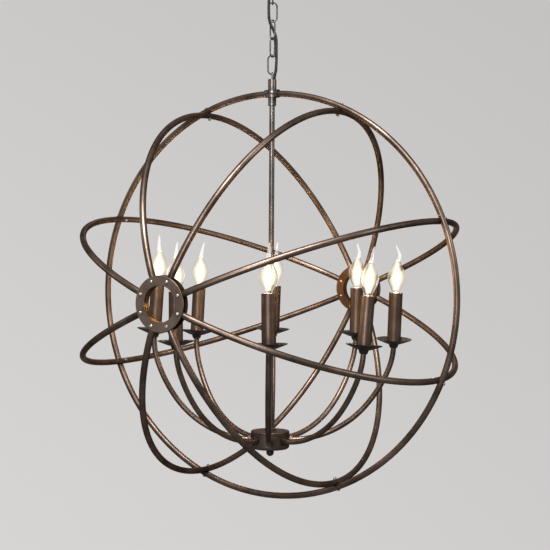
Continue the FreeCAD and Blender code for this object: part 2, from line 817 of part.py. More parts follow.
def crossings():
    """A screw through the upright ring and each rib, with a nut on the rib's inner side."""
    rib_inside = size(f"{rib_radius} - tube_dia / 2")
    shank = f"(orb_dia / 2 - {rib_inside} + nut_height + screw_end + 2 * seat_gap)"
    screws, nuts = [], []
    for number in range(RIBS):
        outward = rib_direction(number)
        facing = Rotation(Vector(0, 0, 1), outward)
        item = screw("CrossingScrew", shank)
        item.Placement = Placement(orb_middle + outward * (size("orb_dia / 2") + gap / 2), facing)
        screws.append(item)
        nut = turned("CrossingNut", [
            ("screw_dia / 2 + hole_gap / 2", "0"),
            ("nut_dia / 2", "0"),
            ("nut_dia / 2", "nut_height"),
            ("screw_dia / 2 + hole_gap / 2", "nut_height"),
        ])
        nut.Placement = Placement(orb_middle + outward * (rib_inside - gap - size("nut_height")), facing)
        nuts.append(nut)
    grouped("crossing_screws", screws)
    grouped("crossing_nuts", nuts)


# ---------------------------------------------------------------- stem and drum

drum_floor = orb_height - size("drum_bottom - drum_wall")
cover_foot = orb_height - size("drum_top") + gap
arm_height = orb_height - size("arm_drop")


def stem():
    top = neck_foot + size("neck_floor")
    foot = drum_floor + gap
    outer = cylinder("stem_dia / 2", str(top - foot))
    pin_hole = cylinder("finial_pin_dia / 2 + hole_gap", "2 * finial_pin")
    above = Vector(0, 0, size("2 * finial_pin"))
    bore = cylinder("stem_dia / 2 - stem_wall", str(top - foot - above.z), above)
    item = cut("stem", outer, [pin_hole, bore])
    subpart(item, "stem", Placement(Vector(0, 0, foot), Rotation()))


def drum():
    """An open cup round the arms' inner ends. Its cover closes it."""
    radius, inside = "drum_dia / 2", "(drum_dia / 2 - drum_wall)"
    height, hole = "(drum_bottom - drum_top)", "(finial_pin_dia / 2 + hole_gap)"
    body = turned("drum", [
        (hole, "0"),
        (f"{radius} - drum_round", "0", "drum_round"),
        (radius, "drum_round"),
        (radius, height),
        (inside, height),
        (inside, "drum_round", "-(drum_round - drum_wall)"),
        (f"{inside} - drum_round + drum_wall", "drum_wall"),
        (hole, "drum_wall"),
    ])
    direction = Rotation(Vector(0, 0, 1), -90 + size("arm_turn_from_hub")).multVec(Vector(1, 0, 0))
    start = direction * size("arm_start") + Vector(0, 0, size("drum_bottom - arm_drop"))
    arm_hole = drilled(body, "arm_dia / 2 + seat_gap", "drum_dia", start, direction)
    repeated(body, arm_hole, LAMPS)
    subpart(body, "drum", Placement(Vector(0, 0, orb_height - size("drum_bottom")), Rotation()))


def drum_cover():
    hole, radius = "(stem_dia / 2 + hole_gap)", "drum_dia / 2"
    lip = "(drum_dia / 2 - drum_wall - hole_gap)"
    body = turned("drum_cover", [
        (hole, "0"),
        (f"{lip} - drum_wall", "0"),
        (f"{lip} - drum_wall", "-cover_lip"),
        (lip, "-cover_lip"),
        (lip, "0"),
        (radius, "0"),
        (radius, "cover_height - cover_round", "cover_round"),
        (f"{radius} - cover_round", "cover_height"),
        (hole, "cover_height"),
    ])
    subpart(body, "drum_cover", Placement(Vector(0, 0, cover_foot), Rotation()))
    collar = turned("cover_collar", [
        (hole, "0"),
        ("cover_collar_dia / 2", "0"),
        ("cover_collar_dia / 2", "0.6 * cover_collar_height"),
        ("0.7 * cover_collar_dia / 2", "cover_collar_height"),
        (hole, "cover_collar_height"),
    ])
    foot = cover_foot + size("cover_height") + gap
    subpart(collar, "cover_collar", Placement(Vector(0, 0, foot), Rotation()))


def finial():
    """A ball under the drum whose pin screws into the stem."""
    ball = doc.addObject("Part::Sphere", "Ball")
    bind(ball, Radius="finial_dia / 2")
    pin = cylinder("finial_pin_dia / 2", "finial_dia / 2 + drum_wall + finial_pin")
    middle = orb_height - size("drum_bottom + finial_dia / 2") - gap / 2
    subpart(fused("finial", [ball, pin]), "finial", Placement(Vector(0, 0, middle), Rotation()))


def wire_block():
    """The ring round the stem in which the lamps' wires meet the cable's cores."""
    body = turned("wire_block", [
        ("stem_dia / 2 + seat_gap", "-block_height / 2"),
        ("block_dia / 2", "-block_height / 2"),
        ("block_dia / 2", "block_height / 2"),
        ("stem_dia / 2 + seat_gap", "block_height / 2"),
    ])
    subpart(body, "wire_block", Placement(Vector(0, 0, arm_height), Rotation()))


# ---------------------------------------------------------------- arms and lamps

arm_turn_three = "(90 - arm_turn_one - arm_turn_two)"


def arm_place(number):
    turn = size("arm_turn_from_hub") + 360 / LAMPS * number - 90
    facing = Rotation(Vector(0, 0, 1), turn)
    rolled = Rotation(Vector(1, 0, 0), -size(f"roll_{number + 1}"))
    return Placement(Vector(0, 0, arm_height), facing * rolled)


def arm_bends(number):
    """The bends of an arm outside the drum. A level arm has no lifting bend."""
    lift = f"lift_{number + 1}"
    return [
        ("arm_bend_one", "arm_lift_start"),
        *([("arm_lift_bend", lift)] if size(lift) else []),
        ("arm_bend_one", "(arm_turn_one - arm_lift_start)"),
        ("arm_bend_two", "arm_turn_two"),
    ]


def arm_end(number):
    """Where an arm ends in its own XZ plane, and its direction there."""
    spot, heading = Vector(size("drum_dia / 2"), 0, 0), 0
    for step in [*arm_bends(number), ("arm_bend_three", arm_turn_three)]:
        spot, heading = after_step(step, spot, heading)
    return spot, heading_vector(heading)


def arms():
    """Curved tubes from the drum to the lamps, with a nut on each side of the drum's wall."""
    wire_start = size("block_dia / 2") + gap
    short = "(nipple_reach + lamp_gap) / arm_bend_three * 180 / pi"
    # a nut inside the drum's round wall touches it at the nut's two sides
    inner_wall = size("sqrt((drum_dia / 2 - drum_wall) ^ 2 - (arm_nut_dia / 2) ^ 2)")
    inner_nut = inner_wall - size("arm_nut_inner") - gap
    arm_items, nuts, wires = [], [], []
    for number in range(LAMPS):
        bends = arm_bends(number)
        arm_steps = [("(drum_dia / 2 - arm_start)",), *bends, ("arm_bend_three", arm_turn_three)]
        wire_steps = [
            (f"(drum_dia / 2 - {wire_start})",),
            *bends,
            ("arm_bend_three", f"({arm_turn_three} - {short})"),
        ]
        start = (size("arm_start"), 0)
        outer = rod("ArmTube", "arm_dia / 2", arm_steps, start)
        bore = rod("ArmBore", "arm_dia / 2 - arm_wall", arm_steps, start)
        item = cut("Arm", outer, [bore])
        item.Placement = arm_place(number)
        arm_items.append(item)
        wire = rod("LampWire", "arm_dia / 2 - arm_wall - wire_gap", wire_steps, (wire_start, 0))
        wire.Placement = arm_place(number)
        wires.append(wire)
        for width, near in (("arm_nut_outer", size("drum_dia / 2") + gap), ("arm_nut_inner", inner_nut)):
            nut = turned("ArmNut", [
                ("arm_dia / 2 + seat_gap", "0"),
                ("arm_nut_dia / 2", "0"),
                ("arm_nut_dia / 2", width),
                ("arm_dia / 2 + seat_gap", width),
            ])
            lying = Placement(Vector(near, 0, 0), Rotation(Vector(0, 0, 1), Vector(1, 0, 0)))
            nut.Placement = arm_place(number).multiply(lying)
            nuts.append(nut)
    radius, length = "stem_dia / 2 - stem_wall - wire_gap", str(neck_foot - arm_height)
    stem_wire = cylinder(radius, length, Vector(0, 0, arm_height))
    grouped("lamp_arms", arm_items)
    grouped("arm_nuts", nuts)
    grouped("lamp_wires", [*wires, stem_wire])


def lamp_place(number):
    """On an arm's end and in line with it, but for the lamp's own lean."""
    arm = arm_place(number)
    spot, along = arm_end(number)
    foot = arm.multVec(spot + along * size("lamp_gap"))
    in_line = Rotation(Vector(0, 0, 1), arm.Rotation.multVec(along))
    return Placement(foot, Rotation(view_away, size(f"lean_{number + 1}")) * in_line)


nipple_radius = "(arm_dia / 2 - arm_wall - nipple_gap)"


def drip_pan():
    """A shallow dish with the cup under it that covers the arm's end."""
    hole, floor = f"({nipple_radius} + hole_gap)", "pan_floor_dia / 2"
    cup_bore = "arm_dia / 2 + cup_gap"
    return turned("DripPan", [
        (hole, "0"),
        (cup_bore, "0"),
        (cup_bore, "-cup_height"),
        ("cup_foot_dia / 2", "-cup_height"),
        ("cup_dia / 2", "-0.1 * cup_height"),
        (floor, "0"),
        ("0.94 * pan_dia / 2", "0.76 * pan_depth"),
        ("pan_dia / 2", "0.96 * pan_depth"),
        ("0.98 * pan_dia / 2", "pan_depth"),
        ("0.925 * pan_dia / 2", "0.76 * pan_depth + 0.8 * pan_wall"),
        (floor, "pan_wall"),
        (hole, "pan_wall"),
    ])


def candle_sleeve():
    foot = "(pan_wall + seat_gap)"
    return turned("CandleSleeve", [
        ("sleeve_dia / 2 - sleeve_wall", foot),
        ("sleeve_dia / 2", foot),
        ("sleeve_dia / 2", f"{foot} + sleeve_height"),
        ("sleeve_dia / 2 - sleeve_wall", f"{foot} + sleeve_height"),
    ])


holder_top = "(pan_wall + seat_gap + sleeve_height - 1)"


def lamp_holder():
    """A socket on a hollow stem that screws through the pan into the arm."""
    seat = "(pan_wall + seat_gap)"
    cup_foot = f"({holder_top} - holder_cup)"
    cup_floor = f"({cup_foot} + holder_floor)"
    return turned("LampHolder", [
        ("nipple_bore / 2", "-nipple_reach"),
        (nipple_radius, "-nipple_reach"),
        (nipple_radius, seat),
        ("flange_dia / 2", seat),
        ("flange_dia / 2", f"{seat} + flange_height"),
        ("holder_stem_dia / 2", f"{seat} + flange_height"),
        ("holder_stem_dia / 2", cup_foot),
        ("holder_dia / 2", cup_foot),
        ("holder_dia / 2", holder_top),
        ("holder_bore / 2", holder_top),
        ("holder_bore / 2", cup_floor),
        ("nipple_bore / 2", cup_floor),
    ])


def bulb(name):
    """A flame-shaped bulb, hollow, with the base that screws into its holder. Shares of its
    height and width give the flame's outline."""
    rim = f"({holder_top} + seat_gap)"
    base, neck = "bulb_base_dia / 2", "(bulb_base_dia / 2 + 0.6)"
    widest, wide = f"({rim} + bulb_widest)", "bulb_dia / 2"
    shoulder = f"({rim} + 0.67 * bulb_height)"
    tip = f"({rim} + bulb_height)"
    wall = "glass_wall"
    return turned(name, [
        ("1", f"{rim} - bulb_base"),
        (base, f"{rim} - bulb_base"),
        (base, rim),
        (neck, rim, "1.25 * bulb_dia"),
        (wide, widest, "2.2 * bulb_dia"),
        ("0.3 * bulb_dia / 2", shoulder),
        ("0.09 * bulb_dia / 2", f"{rim} + 0.9 * bulb_height"),
        ("0.04 * bulb_dia / 2", tip),
        ("0", tip),
        ("0", f"{shoulder} + 2 * {wall}"),
        (f"0.3 * bulb_dia / 2 - {wall}", shoulder, f"-(2.2 * bulb_dia - {wall})"),
        (f"{wide} - {wall}", widest, f"-(1.25 * bulb_dia - {wall})"),
        (f"{neck} - {wall}", f"{rim} + 1"),
        (f"{base} - {wall}", f"{rim} - 1"),
        (f"{base} - {wall}", f"{rim} - bulb_base + {wall}"),
        ("1", f"{rim} - bulb_base + {wall}"),
    ])


def lamps():
    makers = {"drip_pans": drip_pan, "candle_sleeves": candle_sleeve, "lamp_holders": lamp_holder}
    for label, make in makers.items():
        items = []
        for number in range(LAMPS):
            item = make()
            item.Placement = lamp_place(number)
            items.append(item)
        grouped(label, items)
    for number in range(LAMPS):
        label = f"bulb_{number + 1}"
        subpart(bulb(label), label, lamp_place(number))


gland_spot = in_room(CABLE_ROUTE[GLAND_POINT])
gland_spot.z = -size("canopy_depth")

ceiling_bracket()
canopy()
cable_gland()
canopy_loop()
shank_rings()
terminal_block()
chain()
cable()
top_loop()
neck()
ring_hanger()
lower_collar()
equator_ring()
ribs()
hubs()
crossings()
stem()
drum()
drum_cover()
finial()
wire_block()
arms()
lamps()
doc.recompute()

# ---------------------------------------------------------------- tests and files

for item in doc.Objects:
    if "Invalid" in item.State or "Error" in item.State:
        raise SystemExit(f"{item.Name} ({item.Label}) has failed: {item.State}")
for item in subparts:
    if item.Shape.isNull() or not item.Shape.isValid():
        raise SystemExit(f"{item.Label} has no valid shape")

print("orb middle at z =", round(orb_height, 3), "hub depth", round(hub_depth, 3))
print("lowest bars, from the canopy loop down:", [round(bar, 3) for bar in lowest_bars],
      "top loop's bar:", round(top_loop_bar, 3))
for number in range(LAMPS):
    lamp = lamp_place(number)
    axis = lamp.Rotation.multVec(Vector(0, 0, 1))
    print("lamp", number + 1, [round(value, 3) for value in lamp.Base], [round(value, 6) for value in axis])
os.makedirs("parts", exist_ok=True)
for item in subparts:
    item.Shape.exportStep(f"parts/{item.Label}.step")
print(len(subparts), "sub-parts")
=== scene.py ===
import json
import math

import bpy
from mathutils import Matrix, Vector


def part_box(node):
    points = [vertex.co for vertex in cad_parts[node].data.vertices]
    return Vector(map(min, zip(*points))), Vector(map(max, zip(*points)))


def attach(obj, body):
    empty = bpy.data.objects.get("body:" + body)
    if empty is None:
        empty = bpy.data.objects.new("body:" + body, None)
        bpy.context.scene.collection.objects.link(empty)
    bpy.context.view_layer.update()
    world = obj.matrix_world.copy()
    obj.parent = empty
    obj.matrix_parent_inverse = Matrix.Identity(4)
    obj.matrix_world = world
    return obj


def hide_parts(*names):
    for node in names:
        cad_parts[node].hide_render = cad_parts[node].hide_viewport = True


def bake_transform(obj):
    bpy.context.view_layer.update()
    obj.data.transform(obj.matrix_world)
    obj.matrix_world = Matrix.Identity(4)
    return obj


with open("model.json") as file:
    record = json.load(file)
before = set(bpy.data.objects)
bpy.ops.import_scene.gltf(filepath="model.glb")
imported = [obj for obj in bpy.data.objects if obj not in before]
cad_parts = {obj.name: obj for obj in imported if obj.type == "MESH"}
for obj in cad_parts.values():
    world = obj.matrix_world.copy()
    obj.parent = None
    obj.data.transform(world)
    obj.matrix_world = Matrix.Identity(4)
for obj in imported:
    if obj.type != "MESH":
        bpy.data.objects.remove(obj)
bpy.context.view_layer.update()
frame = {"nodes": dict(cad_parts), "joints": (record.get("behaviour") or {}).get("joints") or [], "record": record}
nodes = frame["nodes"]
orbMiddle = Vector((0, 0, -0.668))
# to the viewer's right and away from the viewer, both level
viewTurn = math.radians(30)
viewRight = Vector((math.cos(viewTurn), math.sin(viewTurn), 0))
viewAway = Vector((-viewRight.y, viewRight.x, 0))
print("frame loaded:", len(nodes), "nodes")


# fitted to the photograph; lens and sensor are in millimetres, near is in metres
camera = {
    "place": (1.48324, -2.56172, -0.52311), "turn": (87.967, -0.346, 29.935),
    "lens": 98.84, "sensor": 36, "near": 0.05,
}

cameraData = bpy.data.cameras.new("camera")
cameraData.lens = camera["lens"]
cameraData.sensor_width = camera["sensor"]
cameraData.clip_start = camera["near"]
cameraObject = bpy.data.objects.new("camera", cameraData)
cameraObject.location = camera["place"]
cameraObject.rotation_euler = [math.radians(angle) for angle in camera["turn"]]
bpy.context.scene.collection.objects.link(cameraObject)
bpy.context.scene.camera = cameraObject
bpy.context.scene.view_settings.view_transform = "Standard"


def addNode(tree, kind, inputs=None, **settings):
    node = tree.nodes.new(kind)
    for name, value in settings.items():
        setattr(node, name, value)
    for name, value in (inputs or {}).items():
        if hasattr(value, "links"):
            tree.links.new(value, node.inputs[name])
        else:
            node.inputs[name].default_value = value
    return node


# a round studio with a coved wall, in metres, whose seen tone carries a painted light falloff, darker to the right
# and upwards
room = {
    "radius": 7.0, "floor": -3.1, "wall": 6.0, "corner": 2.0, "cornerSteps": 12, "sides": 96,
    "paint": (0.78, 0.77, 0.76), "seen": (0.598, 0.586, 0.582), "seenShare": 0.9,
    "paintedFalloffRight": (1.045, 0.945), "paintedFalloffUp": (1.05, 0.9), "paintedFalloffReach": 1.9,
    "ambient": (1.0, 0.98, 0.96), "ambientStrength": 0.5,
}
# each panel faces the orb; its width and height are in metres
panels = {
    "frontPanel": {
        "place": (1.15, -3.35, 0.1), "size": (0.7, 1.7), "power": 195, "tint": (1.0, 0.955, 0.93),
    },
    "overheadPanel": {
        "place": (0.75, -1.75, 1.9), "size": (1.7, 1.0), "power": 470, "tint": (1.0, 0.96, 0.93),
    },
    "sidePanel": {
        "place": (3.0, 0.3, 0.5), "size": (0.5, 1.4), "power": 60, "tint": (1.0, 0.96, 0.92),
    },
    "leftPanel": {
        "place": (-2.9, -1.3, 0.3), "size": (0.4, 1.4), "power": 26, "tint": (0.97, 0.98, 1.0),
    },
    "rearPanel": {
        "place": (-1.2, 3.0, 1.2), "size": (1.0, 1.0), "power": 30, "tint": (1.0, 0.97, 0.94),
    },
}


def maths(tree, operation, *values):
    return addNode(tree, "ShaderNodeMath", dict(enumerate(values)), operation=operation).outputs[0]


def raySwitch(tree):
    # 1 for rays that show a surface to the viewer, directly or by reflection
    path = addNode(tree, "ShaderNodeLightPath").outputs
    direct = maths(tree, "MAXIMUM", path["Is Camera Ray"], path["Is Glossy Ray"])
    return maths(tree, "MAXIMUM", direct, path["Is Transmission Ray"])


def buildWorld():
    world = bpy.data.worlds.new("studio")
    world.use_nodes = True
    tree = world.node_tree
    tree.nodes.clear()
    gathered = addNode(tree, "ShaderNodeBackground", {
        "Color": (*room["ambient"], 1), "Strength": room["ambientStrength"],
    })
    seen = addNode(tree, "ShaderNodeBackground", {"Color": (*room["seen"], 1), "Strength": 1})
    mix = addNode(tree, "ShaderNodeMixShader", {
        0: raySwitch(tree), 1: gathered.outputs[0], 2: seen.outputs[0],
    })
    addNode(tree, "ShaderNodeOutputWorld", {"Surface": mix.outputs[0]})
    bpy.context.scene.world = world


def buildPaint():
    # the wall is lit like paint, and seen in a plain tone with a painted light falloff
    paint = bpy.data.materials.new("studioPaint")
    paint.use_nodes = True
    tree = paint.node_tree
    tree.nodes.clear()
    matte = addNode(tree, "ShaderNodeBsdfDiffuse", {"Color": (*room["paint"], 1)})
    spot = addNode(tree, "ShaderNodeTexCoord").outputs["Object"]
    sideways = addNode(tree, "ShaderNodeVectorMath", {
        0: spot, 1: tuple(viewRight),
    }, operation="DOT_PRODUCT")
    height = addNode(tree, "ShaderNodeSeparateXYZ", {"Vector": spot}).outputs["Z"]
    # painted light falloff: the seen tone is scaled darker towards the right and upwards
    reach = room["paintedFalloffReach"]
    across = mapRange(tree, sideways.outputs["Value"], -reach, reach, *room["paintedFalloffRight"])
    upward = mapRange(tree, height, orbMiddle.z - reach, orbMiddle.z + reach, *room["paintedFalloffUp"])
    tone = maths(tree, "MULTIPLY", across, upward)
    plain = addNode(tree, "ShaderNodeEmission", {"Color": (*room["seen"], 1), "Strength": tone})
    share = maths(tree, "MULTIPLY", raySwitch(tree), room["seenShare"])
    mix = addNode(tree, "ShaderNodeMixShader", {0: share, 1: matte.outputs[0], 2: plain.outputs[0]})
    addNode(tree, "ShaderNodeOutputMaterial", {"Surface": mix.outputs[0]})
    return paint


def buildWall():
    radius, corner, floor = room["radius"], room["corner"], room["floor"]
    profile = [(0, floor), (radius - corner, floor)]
    for step in range(1, room["cornerSteps"] + 1):
        turn = math.pi / 2 * step / room["cornerSteps"]
        profile.append((radius - corner * (1 - math.sin(turn)), floor + corner * (1 - math.cos(turn))))
    profile.append((radius, floor + room["wall"]))
    wall = meshObject("studioWall", *lathe(profile, room["sides"]), buildPaint())
    wall.visible_diffuse = False
    wall.visible_shadow = False


def buildPanels():
    for name, panel in panels.items():
        data = bpy.data.lights.new(name, "AREA")
        data.shape = "RECTANGLE"
        data.size, data.size_y = panel["size"]
        data.energy = panel["power"]
        data.color = panel["tint"]
        item = bpy.data.objects.new(name, data)
        item.location = panel["place"]
        item.rotation_euler = (orbMiddle - item.location).to_track_quat("-Z", "Y").to_euler()
        item.visible_camera = False
        bpy.context.scene.collection.objects.link(item)


def lathe(profile, sides, offset=None):
    # rings round Z through (radius, height) points, moved sideways by offset(height).
    # A radius of 0 becomes one point
    vertices, rings = [], []
    for radius, height in profile:
        right, away = offset(height) if offset else (0, 0)
        start = len(vertices)
        if radius == 0:
            vertices.append((right, away, height))
            rings.append([start])
            continue
        for side in range(sides):
            turn = 2 * math.pi * side / sides
            vertices.append((radius * math.cos(turn) + right, radius * math.sin(turn) + away, height))
        rings.append(list(range(start, start + sides)))
    faces = []
    for lower, upper in zip(rings, rings[1:]):
        for side in range(sides):
            following = (side + 1) % sides
            if len(lower) == 1:
                faces.append((lower[0], upper[following], upper[side]))
            elif len(upper) == 1:
                faces.append((lower[side], lower[following], upper[0]))
            else:
                faces.append((lower[side], lower[following], upper[following], upper[side]))
    return vertices, faces


def sweep(path, radius, sides):
    # a closed tube round the points of path
    along = (path[1] - path[0]).normalized()
    across = along.orthogonal().normalized()
    vertices, faces = [], []
    for number, point in enumerate(path):
        before, after = path[max(number - 1, 0)], path[min(number + 1, len(path) - 1)]
        along = (after - before).normalized()
        across = (across - along * across.dot(along)).normalized()
        other = along.cross(across)
        for side in range(sides):
            turn = 2 * math.pi * side / sides
            vertices.append(point + (across * math.cos(turn) + other * math.sin(turn)) * radius)
        if number:
            start, end = (number - 1) * sides, number * sides
            for side in range(sides):
                following = (side + 1) % sides
                faces.append((start + side, start + following, end + following, end + side))
    faces.append(tuple(reversed(range(sides))))
    faces.append(tuple(range(len(vertices) - sides, len(vertices))))
    return vertices, faces


def placed(shape, matrix):
    # the shape with its vertices moved by matrix
    vertices, faces = shape
    return [matrix @ Vector(vertex) for vertex in vertices], faces


def joined(shapes):
    # all the shapes as one
    vertices, faces = [], []
    for these, sides in shapes:
        start = len(vertices)
        vertices.extend(these)
        faces.extend(tuple(start + number for number in side) for side in sides)
    return vertices, faces


def meshObject(name, vertices, faces, material, crease=35):
    mesh = bpy.data.meshes.new(name)
    mesh.from_pydata([tuple(vertex) for vertex in vertices], [], faces)
    mesh.update()
    mesh.shade_smooth()
    mesh.set_sharp_from_angle(angle=math.radians(crease))
    mesh.materials.append(material)
    item = bpy.data.objects.new(name, mesh)
    bpy.context.scene.collection.objects.link(item)
    return item


def standing(place, up, turn=0):
    # a matrix that stands a shape on place, its Z along up
    facing = Vector((0, 0, 1)).rotation_difference(Vector(up).normalized()).to_matrix().to_4x4()
    return Matrix.Translation(place) @ facing @ Matrix.Rotation(turn, 4, "Z")


def newGroup(name, inputs, outputs):
    group = bpy.data.node_groups.new(name, "ShaderNodeTree")
    for label, kind, value in inputs:
        socket = group.interface.new_socket(name=label, in_out="INPUT", socket_type=kind)
        socket.default_value = value
    for label, kind in outputs:
        group.interface.new_socket(name=label, in_out="OUTPUT", socket_type=kind)
    return group, addNode(group, "NodeGroupInput"), addNode(group, "NodeGroupOutput")


def mixColour(tree, share, first, second, blend="MIX"):
    node = addNode(tree, "ShaderNodeMix", data_type="RGBA", blend_type=blend)
    for socket, value in ((0, share), (6, first), (7, second)):
        if hasattr(value, "links"):
            tree.links.new(value, node.inputs[socket])
        else:
            node.inputs[socket].default_value = value
    return node.outputs[2]


def mapRange(tree, value, fromLow, fromHigh, toLow, toHigh):
    return addNode(tree, "ShaderNodeMapRange", {
        "Value": value, "From Min": fromLow, "From Max": fromHigh, "To Min": toLow, "To Max": toHigh,
    }).outputs["Result"]


buildWorld()
buildWall()
buildPanels()
print("room and panels built")


def buildPatina():
    # cloudy bronze paint: deep in some places, rubbed to a warmer tone in others, with a fine speckle
    group, given, result = newGroup("patina", [
        ("Deep", "NodeSocketColor", (0.03, 0.02, 0.015, 1)),
        ("Rubbed", "NodeSocketColor", (0.1, 0.07, 0.05, 1)),
        ("Cloud Size", "NodeSocketFloat", 20.0),
        ("Speckle Size", "NodeSocketFloat", 900.0),
        ("Speckle", "NodeSocketFloat", 0.3),
    ], [("Color", "NodeSocketColor"), ("Rubbing", "NodeSocketFloat"), ("Grain", "NodeSocketFloat")])
    spot = addNode(group, "ShaderNodeTexCoord").outputs["Object"]
    cloud = addNode(group, "ShaderNodeTexNoise", {
        "Vector": spot, "Scale": given.outputs["Cloud Size"], "Detail": 5.0, "Roughness": 0.62,
    })
    fine = addNode(group, "ShaderNodeTexNoise", {
        "Vector": spot, "Scale": given.outputs["Speckle Size"], "Detail": 2.0, "Roughness": 0.6,
    })
    rubbing = mapRange(group, cloud.outputs["Fac"], 0.36, 0.66, 0.0, 1.0)
    colour = mixColour(group, rubbing, given.outputs["Deep"], given.outputs["Rubbed"])
    dark = mapRange(group, fine.outputs["Fac"], 0.3, 0.7, 0.55, 1.3)
    tone = addNode(group, "ShaderNodeCombineColor", {"Red": dark, "Green": dark, "Blue": dark}).outputs[0]
    speckled = mixColour(group, 1.0, colour, tone, "MULTIPLY")
    colour = mixColour(group, given.outputs["Speckle"], colour, speckled)
    group.links.new(colour, result.inputs["Color"])
    group.links.new(rubbing, result.inputs["Rubbing"])
    group.links.new(fine.outputs["Fac"], result.inputs["Grain"])
    return group


def buildDust():
    # lighter where a surface looks up, broken up by a noise
    group, given, result = newGroup("dust", [
        ("Size", "NodeSocketFloat", 60.0), ("Amount", "NodeSocketFloat", 0.3),
    ], [("Mask", "NodeSocketFloat")])
    normal = addNode(group, "ShaderNodeNewGeometry").outputs["Normal"]
    upward = addNode(group, "ShaderNodeSeparateXYZ", {"Vector": normal}).outputs["Z"]
    spot = addNode(group, "ShaderNodeTexCoord").outputs["Object"]
    noise = addNode(group, "ShaderNodeTexNoise", {
        "Vector": spot, "Scale": given.outputs["Size"], "Detail": 4.0,
    })
    lying = mapRange(group, upward, 0.2, 1.0, 0.0, 1.0)
    broken = mapRange(group, noise.outputs["Fac"], 0.35, 0.65, 0.3, 1.0)
    mask = maths(group, "MULTIPLY", maths(group, "MULTIPLY", lying, broken), given.outputs["Amount"])
    group.links.new(mask, result.inputs["Mask"])
    return group


def buildBrushing():
    # fine lines drawn along one axis, as left on a tube or a turned part
    group, given, result = newGroup("brushing", [
        ("Stretch", "NodeSocketVector", (1.0, 1.0, 0.05)), ("Fineness", "NodeSocketFloat", 900.0),
    ], [("Lines", "NodeSocketFloat")])
    spot = addNode(group, "ShaderNodeTexCoord").outputs["Object"]
    scaled = addNode(group, "ShaderNodeVectorMath", {
        0: spot, 1: given.outputs["Stretch"],
    }, operation="MULTIPLY")
    noise = addNode(group, "ShaderNodeTexNoise", {
        "Vector": scaled.outputs[0], "Scale": given.outputs["Fineness"], "Detail": 3.0, "Roughness": 0.7,
    })
    group.links.new(noise.outputs["Fac"], result.inputs["Lines"])
    return group


patina = buildPatina()
dust = buildDust()
brushing = buildBrushing()


def groupNode(tree, group, **inputs):
    node = addNode(tree, "ShaderNodeGroup", node_tree=group)
    for name, value in inputs.items():
        node.inputs[name.replace("_", " ")].default_value = value
    return node


